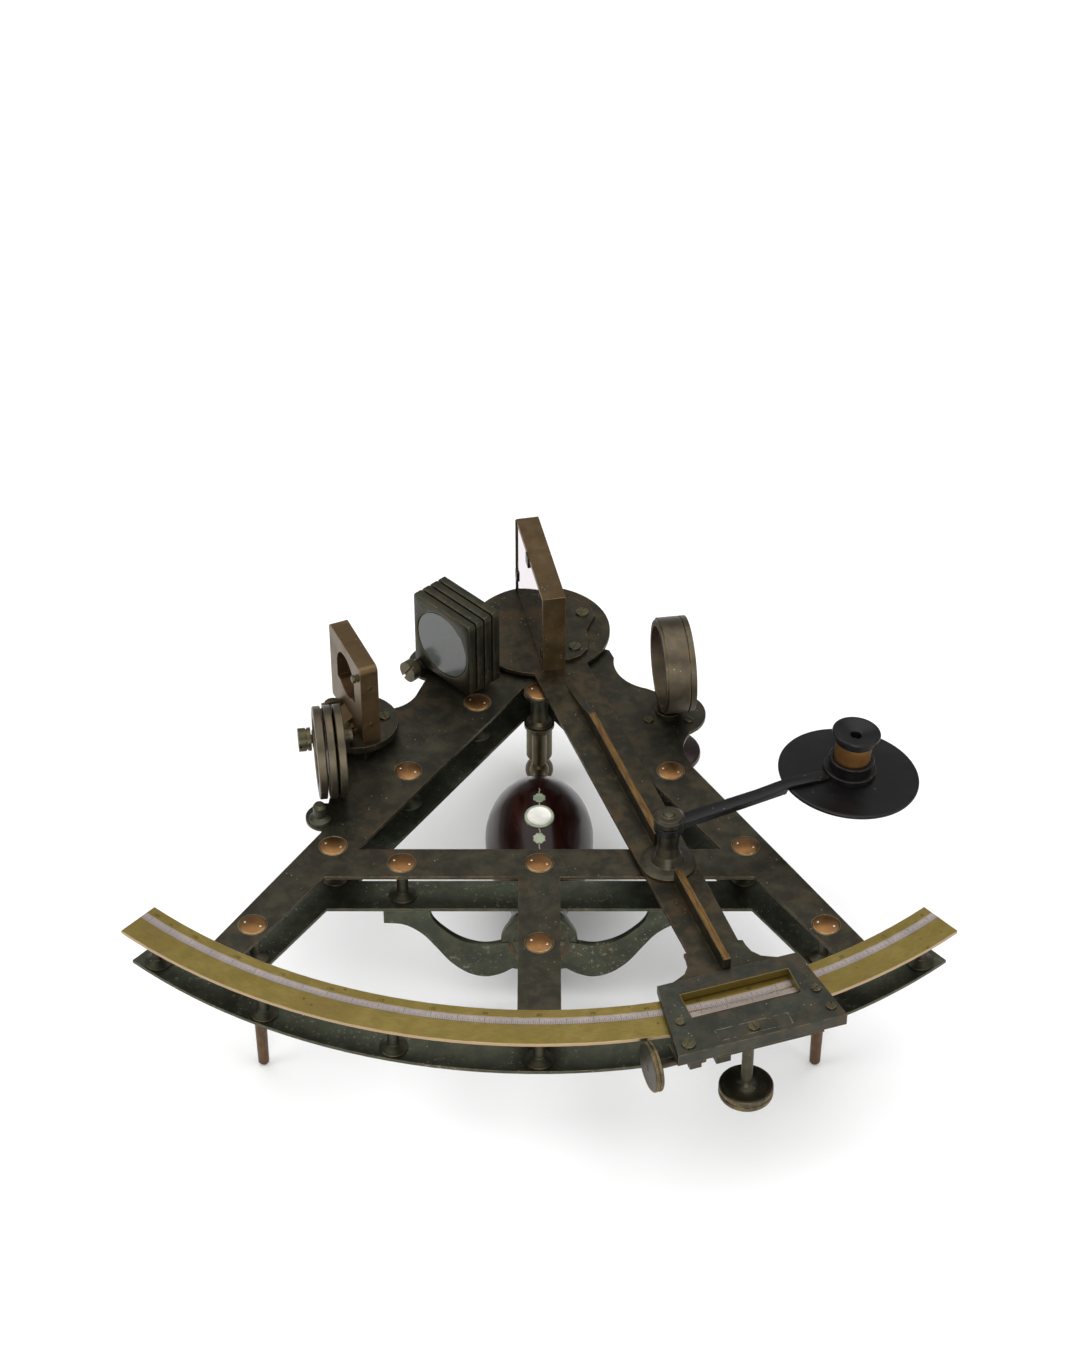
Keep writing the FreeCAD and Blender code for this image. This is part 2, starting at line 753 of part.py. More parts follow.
def ring_frame(number):
    middle_z = ring_pin_z + ring_reach * math.sin(math.radians(ring_out_angle))
    start = ring_place(number) - ring_thickness / 2
    ring = across(ring_radius, ring_middle[0], middle_z, start, ring_thickness)
    lug = across(ring_lug_radius, ring_pin_side(), ring_pin_z, start, ring_thickness)
    bridge = block(-ring_reach, 0, start, start + ring_thickness, -ring_lug_radius, ring_lug_radius)
    bridge.rotate(centre_line, FreeCAD.Vector(0, 1, 0), 180 - ring_out_angle)
    bridge.translate(FreeCAD.Vector(ring_pin_side(), 0, ring_pin_z))
    whole = joined([ring, lug, bridge])
    hole = across(ring_glass_radius - 0.8, ring_middle[0], middle_z, start - 1, ring_thickness + 2)
    whole = whole.cut(hole)
    whole = whole.cut(ring_glass_solid(number))
    whole = whole.cut(across(ring_pin_radius + running_gap, ring_pin_side(), ring_pin_z, start - 1,
                             ring_thickness + 2))
    return sight_frame(whole)


def ring_glass_solid(number):
    middle_z = ring_pin_z + ring_reach * math.sin(math.radians(ring_out_angle))
    start = ring_place(number) - ring_glass_thickness / 2
    return across(ring_glass_radius, ring_middle[0], middle_z, start, ring_glass_thickness)


def ring_glass(number):
    return sight_frame(ring_glass_solid(number))


def ring_ear_start():
    """The ear stands on the base disc, just inside the innermost ring."""
    return ring_place(0) - ring_thickness / 2 - ring_ear_gap - ring_ear_thickness


def horizon_shade_bracket():
    start = ring_ear_start()
    side = ring_pin_side()
    half = ring_ear_half
    ear = block(side - half, side + half, start, start + ring_ear_thickness, horizon_top(), ring_pin_z)
    ear = ear.fuse(across(half, side, ring_pin_z, start, ring_ear_thickness))
    bore = across(ring_pin_radius, side, ring_pin_z, start - 1, ring_ear_thickness + 2)
    return sight_frame(ear.cut(bore))


def horizon_shade_pin():
    """A stud held in the ear, with a nut inside it and a milled, slotted head outside the rings."""
    side = ring_pin_side()
    inner = ring_ear_start()
    outer = ring_place(ring_count - 1) + ring_thickness / 2 + ring_ear_gap
    pin = across(ring_pin_radius, side, ring_pin_z, inner - ring_nut_thickness, outer - inner + 2.0)
    nut = across(ring_nut_radius, side, ring_pin_z, inner - ring_nut_thickness, ring_nut_thickness)
    head = across(ring_screw_radius, side, ring_pin_z, outer, ring_screw_length)
    neck = across(ring_screw_radius + 1, side, ring_pin_z, outer + ring_screw_neck, groove)
    neck = neck.cut(across(ring_screw_radius - groove, side, ring_pin_z, outer, ring_screw_length))
    slot = block(side - 6, side + 6, outer + ring_screw_length - 1.2, outer + ring_screw_length + 1,
                 ring_pin_z - 0.5, ring_pin_z + 0.5)
    return sight_frame(joined([pin, nut, head]).cut(neck).cut(slot))


def shade_stop_post():
    profile = [(3.8, upper_top), (3.8, upper_top + 1.4), (2.3, upper_top + 2.4), (2.3, upper_top + 6.6),
               (1.6, upper_top + stop_post_height)]
    return turned(profile, stop_post)


def light_frame(shape):
    """From the square shades' own directions, with Y along the light path, to the object's."""
    return stood(shape, shade_angle - 90)


def shade_start(number):
    return shade_outer_face - shade_thickness - number * shade_pitch


def shade_pin_side():
    return shade_middle + shade_width / 2 - shade_pin_inset


def shade_pin_z():
    """The hinge pin runs through round lugs at the lower edge of the square frames."""
    return shade_bottom - shade_pin_drop


def shade_glass_solid(number):
    middle_z = shade_bottom + shade_height / 2
    start = shade_start(number) + (shade_thickness - shade_glass_thickness) / 2
    return across(shade_glass_radius, shade_middle, middle_z, start, shade_glass_thickness)


def shade_frame(number):
    start = shade_start(number)
    half = shade_width / 2
    plate = block(shade_middle - half, shade_middle + half, start, start + shade_thickness,
                  shade_bottom, shade_bottom + shade_height)
    plate = plate.makeFillet(shade_corner, [edge for edge in plate.Edges if edge.BoundBox.YLength > 1])
    plate = plate.fuse(across(shade_lug_radius, shade_pin_side(), shade_pin_z(), start, shade_thickness))
    middle_z = shade_bottom + shade_height / 2
    cuts = [across(shade_glass_radius - 0.8, shade_middle, middle_z, start - 1, shade_thickness + 2),
            shade_glass_solid(number),
            across(shade_pin_radius + running_gap, shade_pin_side(), shade_pin_z(), start - 1,
                   shade_thickness + 2)]
    return light_frame(plate.cut(cuts))


def shade_glass(number):
    return light_frame(shade_glass_solid(number))


def index_shade_bracket():
    """Two ears on the upper plate, one at each end of the row of square frames."""
    inner = shade_start(shade_count - 1) - shade_ear_gap - shade_ear_thickness
    outer = shade_outer_face + shade_ear_gap
    side = shade_pin_side()
    thick = shade_ear_thickness
    half = shade_pin_z() - upper_top
    ears = []
    for start in (inner, outer):
        ear = block(side - half, side + half, start, start + thick, upper_top, shade_pin_z())
        ear = ear.fuse(across(half, side, shade_pin_z(), start, thick))
        ears.append(ear.cut(across(shade_pin_radius, side, shade_pin_z(), start - 1, thick + 2)))
    return light_frame(group(ears))


def index_shade_pin():
    inner = shade_start(shade_count - 1) - shade_ear_gap - shade_ear_thickness
    outer = shade_outer_face + shade_ear_gap + shade_ear_thickness
    side = shade_pin_side()
    pin = across(shade_pin_radius, side, shade_pin_z(), inner - shade_nut_thickness, outer - inner + 2.4)
    nut = across(shade_nut_radius, side, shade_pin_z(), inner - shade_nut_thickness, shade_nut_thickness)
    head = across(shade_pin_head_radius, side, shade_pin_z(), outer, shade_pin_head)
    slot = block(side - 6, side + 6, outer + shade_pin_head - 1.1, outer + shade_pin_head + 1,
                 shade_pin_z() - 0.45, shade_pin_z() + 0.45)
    slot.rotate(FreeCAD.Vector(side, 0, shade_pin_z()), FreeCAD.Vector(0, 1, 0), 55)
    return light_frame(joined([pin, nut, head]).cut(slot))


def small_screw(at, base, turn):
    shank = disc(screw_shank_radius, base - small_screw_depth, small_screw_depth, at)
    return slot_head(at, base, small_screw_radius, small_screw_height, 0, turn).fuse(shank)


def horizon_screw_places():
    """Two screws hold the mirror frame's foot to the base disc, the third stands on the disc."""
    places = [(-horizon_thickness / 2 - 3.3, horizon_foot_half - 3.1),
              (-horizon_thickness / 2 - 2.3, -horizon_foot_half + 2.0)]
    turn = math.radians(horizon_turn)
    world = []
    for x, y in places:
        world_x = horizon_centre[0] + x * math.cos(turn) - y * math.sin(turn)
        world_y = horizon_centre[1] + x * math.sin(turn) + y * math.cos(turn)
        world.append((world_x, world_y))
    return world


def frame_screws():
    """Small screws of the telescope collar and of the horizon mirror."""
    foot_top = horizon_top() + horizon_foot_thickness
    places = horizon_screw_places()
    screws = [small_screw(at, upper_top, 40 + 50 * number) for number, at in enumerate(plate_screw_places())]
    screws.append(slot_head(places[0], foot_top, 3.0, 1.4, 0, 20))
    screws.append(slot_head(places[1], foot_top, 1.9, 1.0, 0, 70))
    screws.append(slot_head(clip_screw_place, horizon_top(), 2.0, 0.8, 0, 110))
    return group(screws)


arm_bottom = arm_gap
arm_top = arm_gap + arm_thickness
disc_top = arm_top


def rib(outline):
    """A rib along the arm, from its side outline in (place, height over the arm) points."""
    corners = [FreeCAD.Vector(-rib_width / 2, place, arm_top + height) for place, height in outline]
    face = Part.Face(Part.makePolygon(corners + corners[:1]))
    return face.extrude(FreeCAD.Vector(rib_width, 0, 0))


def long_rib():
    """It rises in a hollow curve from the disc to its full height, and ends at the magnifier's post."""
    return rib([(rib_ramp[0][0], -rib_root)] + rib_ramp
               + [(rib_top_start, rib_height), (rib_end, rib_height), (rib_end, -rib_root)])


def short_rib():
    stop = vernier_top + short_rib_stop
    return rib([(short_rib_start, -rib_root), (short_rib_start, rib_height), (stop, rib_height),
                (stop, -rib_root)])


def index_arm():
    """Disc, tapering arm with a tall rib, and the curved shoulders before the vernier plate."""
    half_top = arm_width_top / 2
    half_end = arm_width_end / 2
    corners = [(-half_top, 0.0), (half_top, 0.0), (half_end, vernier_top), (-half_end, vernier_top)]
    right = [(half, vernier_top + back) for half, back in shoulder_profile]
    shoulder = prism(right + [(-x, y) for x, y in reversed(right)], arm_bottom, arm_thickness)
    shapes = [disc(disc_radius, arm_bottom, arm_thickness), shoulder]
    shapes.append(prism(corners, arm_bottom, arm_thickness))
    whole = joined(shapes + [long_rib(), short_rib()])
    whole = whole.cut(disc(post_base_radius, arm_top, rib_height + 1, (0.0, -post_distance)))
    return on_arm(whole)


def index_arbor():
    bottom = arbor_nut_top() - nut_thickness - 0.6
    shaft = disc(arbor_radius, bottom, arm_bottom - bottom)
    flange = disc(arbor_flange_radius, upper_top + seat_gap, arm_bottom - upper_top - seat_gap)
    return joined([shaft, flange])


def arbor_nut_top():
    return upper_bottom - bearing_length - seat_gap


def arbor_nut():
    top = arbor_nut_top()
    nut = disc(nut_radius, top - nut_thickness, nut_thickness)
    for side in (-1, 1):
        nut = nut.cut(disc(0.9, top - nut_thickness - 1, nut_thickness, (side * nut_radius * 0.75, 0.0)))
    return nut.cut(disc(arbor_radius, top - nut_thickness - 1, nut_thickness + 2))


def index_mirror_base():
    """A plate on the disc behind the mirror, with a curved near edge."""
    low = disc_top
    half = mirror_thickness / 2
    edge = [(3.0, -22.0), (7.0, -20.5), (10.0, -17.0), (11.5, -12.0), (12.0, -6.0), (14.5, -2.0),
            (17.0, 2.0), (16.0, 8.0), (12.0, 13.0), (7.0, 15.5)]
    reach = [(half, -22.0)] + [(half + x, y) for x, y in edge] + [(half, 16.0)]
    plate = prism(reach, low, mirror_base_thickness)
    return stood(plate, mirror_turn, mirror_offset)


def index_glass_solid():
    half = mirror_length / 2 - glass_border
    front = -mirror_thickness / 2
    low = disc_top + glass_border
    return block(front, front + glass_thickness, -half, half, low, disc_top + mirror_height - glass_border)


def index_mirror_frame():
    half = mirror_length / 2
    body = block(-mirror_thickness / 2, mirror_thickness / 2, -half, half, disc_top, disc_top + mirror_height)
    return stood(body.cut(index_glass_solid()), mirror_turn, mirror_offset)


def index_mirror_glass():
    return stood(index_glass_solid(), mirror_turn, mirror_offset)


def vernier_outline():
    return [(-vernier_half_top, vernier_top), (vernier_half_top, vernier_top),
            (vernier_half_bottom, vernier_bottom), (-vernier_half_bottom, vernier_bottom)]


def vernier_plate():
    """The plate over the limb, with a bevelled window and a lip that hangs outside the limb."""
    bottom = arm_bottom
    plate = prism(vernier_outline(), bottom, vernier_thickness)
    lip = block(-vernier_half_bottom, vernier_half_bottom, vernier_bottom, vernier_lip_top,
                jaw_top + arm_gap, bottom)
    lip = lip.cut(disc(limb_radius + vernier_lip_gap, -5, 10))
    lug = block(lug_u - lug_half, lug_u + lug_half, tangent_v - lug_reach, tangent_v + lug_reach,
                tangent_z - lug_reach, bottom)
    lug = lug.cut(disc(limb_radius + vernier_lip_gap, -limb_thickness - arm_gap, 4.0))
    hole = rod(tangent_shaft_radius + running_gap, FreeCAD.Vector(lug_u - 5, tangent_v, tangent_z),
               FreeCAD.Vector(1, 0, 0), 10)
    window = block(-window_half, window_half, window_bottom, window_top, bottom - 1,
                   bottom + vernier_thickness + 1)
    bevel = bevel_cutter(bottom + vernier_thickness)
    return on_arm(joined([plate, lip, lug]).cut([window, bevel, hole]))


def bevel_cutter(top):
    """A wedge that slopes the plate down to the window along its lower edge."""
    profile = [FreeCAD.Vector(-window_half, window_bottom + 0.1, top - vernier_thickness * 0.7),
               FreeCAD.Vector(-window_half, window_bottom + 0.1, top + 0.5),
               FreeCAD.Vector(-window_half, window_bottom - window_bevel, top + 0.5),
               FreeCAD.Vector(-window_half, window_bottom - window_bevel, top)]
    face = Part.Face(Part.makePolygon(profile + profile[:1]))
    return face.extrude(FreeCAD.Vector(2 * window_half, 0, 0))


def vernier_scale():
    return on_arm(block(-window_half, window_half, window_bottom, window_bottom + vernier_scale_width,
                        arm_bottom, arm_bottom + vernier_scale_thickness))


def index_screws():
    """Screws of the mirror base, the vernier plate and the magnifier's cap."""
    top = arm_bottom + vernier_thickness
    shapes = []
    for number, (side, inset, radius) in enumerate(vernier_screws):
        head = slot_head((side, inset - limb_radius), top, radius, vernier_screw_height, 0, 25 * number)
        shapes.append(on_arm(head))
    base_top = disc_top + mirror_base_thickness
    for at, radius in mirror_base_screws:
        head = slot_head(at, base_top, radius, mirror_screw_height, 0, 60)
        shapes.append(stood(head, mirror_turn, mirror_offset))
    return group(shapes)


def clamp_block():
    """A thin jaw under the limb's edge; its left end is thicker, as the nut of the tangent screw."""
    low = jaw_top - jaw_thickness
    jaw = block(jaw_left, jaw_right, jaw_outer, jaw_inner, low, jaw_top)
    nut = block(jaw_left, jaw_left + nut_length, tangent_v - nut_half, tangent_v + nut_half,
                tangent_z - nut_half, jaw_top)
    tangent = rod(tangent_shaft_radius + running_gap, FreeCAD.Vector(jaw_left - 1, tangent_v, tangent_z),
                  FreeCAD.Vector(1, 0, 0), tangent_end_u - jaw_left + tangent_travel + 2)
    clamp = disc(clamp_shaft_radius + running_gap, low - 1, jaw_thickness + 2, (clamp_u, clamp_v))
    return on_arm(joined([jaw, nut]).cut([tangent, clamp]))


def clamp_screw():
    bottom = clamp_knob_top - clamp_knob_thickness
    waist = clamp_knob_radius - groove
    middle = clamp_knob_top - clamp_knob_thickness / 2
    profile = [(clamp_shaft_radius, jaw_top - 0.2), (clamp_shaft_radius, clamp_knob_top + 2.0),
               (clamp_shaft_radius + 1.6, clamp_knob_top), (clamp_knob_radius - 0.9, clamp_knob_top),
               (clamp_knob_radius, clamp_knob_top - 0.8), (clamp_knob_radius, middle + 0.5),
               (waist, middle + 0.25),
               (waist, middle - 0.25), (clamp_knob_radius, middle - 0.5), (clamp_knob_radius, bottom + 0.8),
               (clamp_knob_radius - 0.9, bottom)]
    return on_arm(turned(profile, (clamp_u, clamp_v)))


def tangent_screw():
    radius = tangent_knob_radius
    thick = tangent_knob_thickness
    profile = [(radius - 0.8, -thick / 2), (radius, -thick / 2 + 0.7), (radius, -0.3),
               (radius - groove, -0.15),
               (radius - groove, 0.15), (radius, 0.3), (radius, thick / 2 - 0.7), (radius - 0.8, thick / 2),
               (tangent_shaft_radius + 1.2, thick / 2), (tangent_shaft_radius, thick / 2 + 2.0),
               (tangent_shaft_radius, tangent_end_u - tangent_knob_u)]
    screw = turned(profile)
    collar_start = lug_u + lug_half + 0.25 - tangent_knob_u
    screw = joined([screw, disc(tangent_shaft_radius + 1.3, collar_start, 1.4)])
    screw.rotate(centre_line, FreeCAD.Vector(0, 1, 0), 90)
    screw.translate(FreeCAD.Vector(tangent_knob_u, tangent_v, tangent_z))
    return on_arm(screw)


def post_place():
    return about(post_distance, arm_angle)


def on_post(shape):
    return stood(shape, swing_angle, post_place())


def magnifier_post():
    peg = post_waist_radius * 0.62
    profile = [(post_base_radius, arm_top), (post_base_radius, arm_top + 0.9),
               (post_base_radius - 1.6, arm_top + 1.6),
               (post_waist_radius + 2.2, arm_top + 2.2), (post_waist_radius + 0.6, arm_top + 5.5),
               (post_waist_radius, arm_top + 9.0),
               (post_waist_radius + 0.4, post_top - swing_thickness - 1.0),
               (post_waist_radius + 1.0, post_top - swing_thickness - 0.1),
               (peg, post_top - swing_thickness - 0.1), (peg, post_top)]
    cap = turned([(cap_radius - 0.6, post_top), (cap_radius, post_top + 0.6),
                  (cap_radius, post_top + cap_thickness - 0.9),
                  (cap_radius - 1.0, post_top + cap_thickness), (2.2, post_top + cap_thickness),
                  (1.7, post_top + cap_thickness + 0.8), (0.6, post_top + cap_thickness + 1.1)])
    whole = joined([turned(profile), cap])
    return stood(whole, 0.0, post_place())


def tilted(shape):
    """The lens end of the magnifier leans away from the post."""
    shape.rotate(FreeCAD.Vector(0, 0, 0), FreeCAD.Vector(0, 1, 0), reflector_tilt)
    shape.translate(FreeCAD.Vector(swing_length, 0, post_top - swing_thickness - swing_drop))
    return on_post(shape)


def magnifier_arm():
    """A flat arm from the post's peg to the barrel, narrower in the middle."""
    bottom = post_top - swing_thickness + 0.05
    thick = swing_thickness - 0.15
    hub = disc(cap_radius - 0.2, bottom, thick)
    side = FreeCAD.Vector(0, 1, 0)
    slope = math.degrees(math.atan2(swing_drop, swing_length - barrel_radius))
    length = math.hypot(swing_length - barrel_radius, swing_drop)
    wide, narrow = swing_width / 2, swing_width_end / 2
    bar = prism([(0, -wide), (0, wide), (length - 1.0, narrow), (length - 1.0, -narrow)], 0, thick)
    bar.rotate(centre_line, side, slope)
    bar.translate(FreeCAD.Vector(0, 0, bottom))
    ring_low = reflector_thickness + 0.05
    ring = disc(barrel_collar_radius, ring_low, 2.6)
    ring.rotate(centre_line, side, reflector_tilt)
    ring.translate(FreeCAD.Vector(swing_length, 0, post_top - swing_thickness - swing_drop))
    whole = joined([hub, bar, ring])
    hole = disc(barrel_radius, -5, 30)
    hole.rotate(centre_line, side, reflector_tilt)
    hole.translate(FreeCAD.Vector(swing_length, 0, post_top - swing_thickness - swing_drop))
    plate = disc(reflector_radius + 0.2, -3.0, 3.0 + ring_low)
    plate.rotate(centre_line, side, reflector_tilt)
    plate.translate(FreeCAD.Vector(swing_length, 0, post_top - swing_thickness - swing_drop))
    peg_hole = disc(post_waist_radius * 0.62 + running_gap, bottom - 5, 20)
    shoulder_room = disc(cap_radius + 0.3, bottom - 5, 5)
    return on_post(whole.cut([hole, plate, peg_hole, shoulder_room]))


def reflector_disc():
    plate = disc(reflector_radius, 0, reflector_thickness)
    return tilted(plate.cut(disc(barrel_radius, -1, reflector_thickness + 2)))


def magnifier_barrel():
    tube = disc(barrel_radius, -0.8, barrel_height + 0.8)
    lip = disc(barrel_radius + 0.7, barrel_height - 1.2, 1.2)
    return tilted(joined([tube, lip]).cut(disc(tube_radius + running_gap, -2, barrel_height + 4)))


def magnifier_tube():
    tube = disc(tube_radius, 2.0, tube_height)
    return tilted(tube.cut(disc(tube_radius - tube_wall, 0, tube_height + 4)))


def magnifier_eyepiece():
    low = 2.0 + tube_height
    profile = [(tube_radius, low), (tube_radius + 0.6, low + 0.8),
               (tube_radius + 0.6, low + eyepiece_thickness - 1.6),
               (eyepiece_radius, low + eyepiece_thickness - 1.1),
               (eyepiece_radius, low + eyepiece_thickness - 0.3),
               (eyepiece_radius - 0.6, low + eyepiece_thickness)]
    cap = turned(profile)
    dish = turned([(0.01, low + eyepiece_thickness - 1.6), (eye_hole_radius, low + eyepiece_thickness - 1.6),
                   (eyepiece_radius - 1.4, low + eyepiece_thickness + 0.1)])
    cap = cap.cut([dish, disc(eye_hole_radius, low - 1, eyepiece_thickness + 2)])
    return tilted(cap)


def magnifier_lens():
    return tilted(disc(tube_radius - tube_wall, 5.0, lens_thickness))


def build_all():
    parts["upper_frame"] = upper_frame()
    parts["lower_frame"] = lower_frame()
    parts["limb"] = limb()
    parts["silver_scale"] = silver_scale()
    parts["frame_pillars"] = frame_pillars()
    parts["pillar_screws"] = pillar_screws()
    parts["frame_screws"] = frame_screws()
    parts["front_feet"] = front_feet()
    parts["rear_foot"] = rear_foot()
    parts["centre_bearing"] = centre_bearing()
    parts["handle"] = handle()
    parts["handle_inlays"] = group(inlay_pegs())
    parts["handle_stud"] = handle_stud()
    parts["handle_bracket"] = handle_bracket()
    parts["collar_base"] = collar_base()
    parts["collar_stem"] = collar_stem()
    parts["collar_ring_front"] = collar_ring_front()
    parts["collar_ring_back"] = collar_ring_back()
    parts["collar_knob"] = collar_knob()
    parts["horizon_base"] = horizon_base()
    parts["horizon_mirror_frame"] = horizon_mirror_frame()
    parts["horizon_glass"] = horizon_glass()
    parts["horizon_shade_bracket"] = horizon_shade_bracket()
    parts["horizon_shade_pin"] = horizon_shade_pin()
    parts["shade_stop_post"] = shade_stop_post()
    for number in range(ring_count):
        parts["horizon_shade_ring_%d" % (number + 1)] = ring_frame(number)
        parts["horizon_shade_glass_%d" % (number + 1)] = ring_glass(number)
    parts["index_shade_bracket"] = index_shade_bracket()
    parts["index_shade_pin"] = index_shade_pin()
    for number in range(shade_count):
        parts["index_shade_frame_%d" % (number + 1)] = shade_frame(number)
        parts["index_shade_glass_%d" % (number + 1)] = shade_glass(number)
    parts["index_arm"] = index_arm()
    parts["index_arbor"] = index_arbor()
    parts["arbor_nut"] = arbor_nut()
    parts["index_mirror_base"] = index_mirror_base()
    parts["index_mirror_frame"] = index_mirror_frame()
    parts["index_mirror_glass"] = index_mirror_glass()
    parts["vernier_plate"] = vernier_plate()
    parts["vernier_scale"] = vernier_scale()
    parts["index_screws"] = index_screws()
    parts["clamp_block"] = clamp_block()
    parts["clamp_screw"] = clamp_screw()
    parts["tangent_screw"] = tangent_screw()
    parts["magnifier_post"] = magnifier_post()
    parts["magnifier_arm"] = magnifier_arm()
    parts["reflector_disc"] = reflector_disc()
    parts["magnifier_barrel"] = magnifier_barrel()
    parts["magnifier_tube"] = magnifier_tube()
    parts["magnifier_eyepiece"] = magnifier_eyepiece()
    parts["magnifier_lens"] = magnifier_lens()


def export_all():
    """The origin goes under the middle of the whole, at the tips of the feet."""
    os.makedirs("parts", exist_ok=True)
    bounds = group(list(parts.values())).BoundBox
    shift = FreeCAD.Vector(-bounds.Center.x, -bounds.Center.y, rest_height)
    for name, shape in parts.items():
        shape.translate(shift)
        shape.exportStep("parts/" + name + ".step")
    print("pieces", len(parts), "shift", [round(value, 4) for value in shift])


build_all()
export_all()
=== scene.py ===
"""Dresses a double-frame octant: turned pieces, finishes for metal, glass and wood, and a studio stage."""

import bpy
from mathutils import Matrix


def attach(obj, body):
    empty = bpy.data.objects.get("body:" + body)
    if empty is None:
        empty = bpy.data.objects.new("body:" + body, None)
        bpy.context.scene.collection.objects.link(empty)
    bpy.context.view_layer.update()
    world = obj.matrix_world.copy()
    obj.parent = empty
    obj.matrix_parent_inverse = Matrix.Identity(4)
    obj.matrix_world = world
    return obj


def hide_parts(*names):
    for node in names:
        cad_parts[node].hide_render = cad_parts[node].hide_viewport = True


bl_info = {
    "name": "Octant dressing",
    "version": (1, 0, 0),
    "blender": (4, 5, 0),
    "location": "3D View > Sidebar > Octant",
    "description": "Turned pieces, metal, glass and wood finishes and a studio stage for an octant",
    "category": "Object",
}

import math

import bmesh
import bpy
from bpy.props import FloatProperty, FloatVectorProperty, IntProperty, PointerProperty
from mathutils import Matrix, Vector

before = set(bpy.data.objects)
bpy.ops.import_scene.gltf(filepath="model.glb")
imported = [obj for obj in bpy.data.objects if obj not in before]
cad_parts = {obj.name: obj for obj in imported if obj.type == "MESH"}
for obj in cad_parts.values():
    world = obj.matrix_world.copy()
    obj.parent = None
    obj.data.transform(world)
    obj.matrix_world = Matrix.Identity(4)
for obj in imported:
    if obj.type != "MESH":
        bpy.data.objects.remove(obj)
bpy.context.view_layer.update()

# Lengths are in millimetres from the index arm's centre line and the top of the limb.
MM = 0.001
PIVOT = Vector((0.0, 99.275, 67.4)) * MM
ARM_ANGLE = math.radians(18.7)
ARM_TOP = 1.7
RIB_HEIGHT = 5.7
LIMB_RADIUS = 212.0
SCALE_RADIUS = 203.3
SCALE_WIDTH = 2.9
UPPER_TOP = -1.2
LOWER_BOTTOM = -17.3
WINDOW_HALF = 18.8
WINDOW_TOP = -197.6
WINDOW_BOTTOM = -206.6
WINDOW_BEVEL = 2.4
VERNIER_TOP_FACE = 3.3
HANDLE_AXIS_Z = -39.0
HANDLE_PROFILE = [(-45.0, 6.0), (-49.5, 11.6), (-57.0, 16.6), (-66.0, 19.2), (-74.0, 19.5), (-83.0, 18.6),
                  (-91.5, 16.4), (-100.0, 13.0), (-107.0, 10.6), (-111.5, 9.7), (-116.0, 10.6),
                  (-120.0, 11.9)]
HANDLE_END = -123.0
MAGNIFIER_POST = (136.0 * math.sin(ARM_ANGLE), -136.0 * math.cos(ARM_ANGLE))
POST_TOP = 20.4
SWING_ANGLE = math.radians(24.4)
SWING_LENGTH = 69.0
SWING_HEIGHT = 16.8
LENS_TILT = math.radians(6.0)
SMOOTH_ANGLE = math.radians(32.0)
INDEX_MIRROR_TURN = math.radians(11.3)
HORIZON_TURN = math.radians(23.7)
HORIZON_CENTRE = (-65.6, -54.5)
HORIZON_LENGTH = 30.8
HORIZON_THICKNESS = 6.6
HORIZON_LOW = 5.2
HORIZON_HEIGHT = 32.6
INDEX_MIRROR_CENTRE = (0.5, 0.5)
INDEX_MIRROR_LENGTH = 50.5
INDEX_MIRROR_THICKNESS = 8.4
INDEX_MIRROR_HEIGHT = 33.0
SIGHT_TURN = math.radians(98.5)
RING_MIDDLE = (-76.3, 85.0)
RING_PITCH = 3.55
RING_RADIUS = 16.3
RING_OPENING = 12.4
RING_THICKNESS = 2.9
RING_PIN_Z = 8.8
RING_REACH = 19.0
RING_ANGLE = math.radians(155.1)
BRACKET_Y = -126.2
BRACKET_THICKNESS = 2.4
BRACKET_LOWER = [(54.0, -29.0), (47.0, -29.8), (41.0, -34.0), (36.5, -40.0), (31.0, -48.0), (25.0, -53.2),
                 (19.0, -55.0), (13.5, -53.6), (9.5, -51.0)]
BRACKET_UPPER = [(39.0, LOWER_BOTTOM), (37.0, -27.0), (32.0, -33.5), (26.0, -38.0), (19.0, -40.0),
                 (12.0, -38.6)]
BRACKET_BOSS = 13.4
HIDDEN_HEAD = (22.5, -39.5)
HEAD_RADIUS = 4.75
HEAD_FLATNESS = 0.6
SHADE_TURN = math.radians(133.8)
SHADE_WIDTH = 29.5
SHADE_HEIGHT = 31.4
SHADE_THICKNESS = 3.15
SHADE_PITCH = 3.9
SHADE_OUTER_FACE = 46.2
SHADE_MIDDLE = 2.85
SHADE_BOTTOM = 2.3
SHADE_OPENING = 13.2
SHADE_PIN_INSET = 2.4
SHADE_PIN_DROP = 0.8
CRACK_FROM, CRACK_TO = -66.0, -100.0
CLAMP_SCREW_PLACE = (-2.9, -218.3, 0.0)
CLAMP_KNOB_TOP = -22.6
CLAMP_KNOB_RADIUS = 9.0
TANGENT_SCREW_PLACE = (-35.5, -216.9, -5.2)
TANGENT_SCREW_LENGTH = 27.9
TANGENT_KNOB_RADIUS = 8.3
COLLAR_KNOB_PLACE = (46.8, -45.3, 0.0)
COLLAR_KNOB_RADIUS = 12.2
BIG_INLAY_Y = -80.6
SMALL_INLAYS_Y = (-71.3, -90.0)
INLAY_LOBES = 8
LABEL_ROW = 1.3
VERNIER_PARTS = 59.0 / 60.0
WORLD_STRENGTH = 0.42
FLOOR_HALF_SIZE = 6.0
CAMERA_PLACE = (0.0, -0.785665, 0.76596)
CAMERA_TILT = math.radians(51.035)
CAMERA_LENS = 80.42
CAMERA_SHIFT = (0.00053, -0.00497)


def srgb(red, green, blue, alpha=1.0):
    """A linear colour from the 0 to 255 values that a picture program shows."""
    def linear(value):
        value /= 255.0
        return value / 12.92 if value <= 0.04045 else ((value + 0.055) / 1.055) ** 2.4
    return (linear(red), linear(green), linear(blue), alpha)


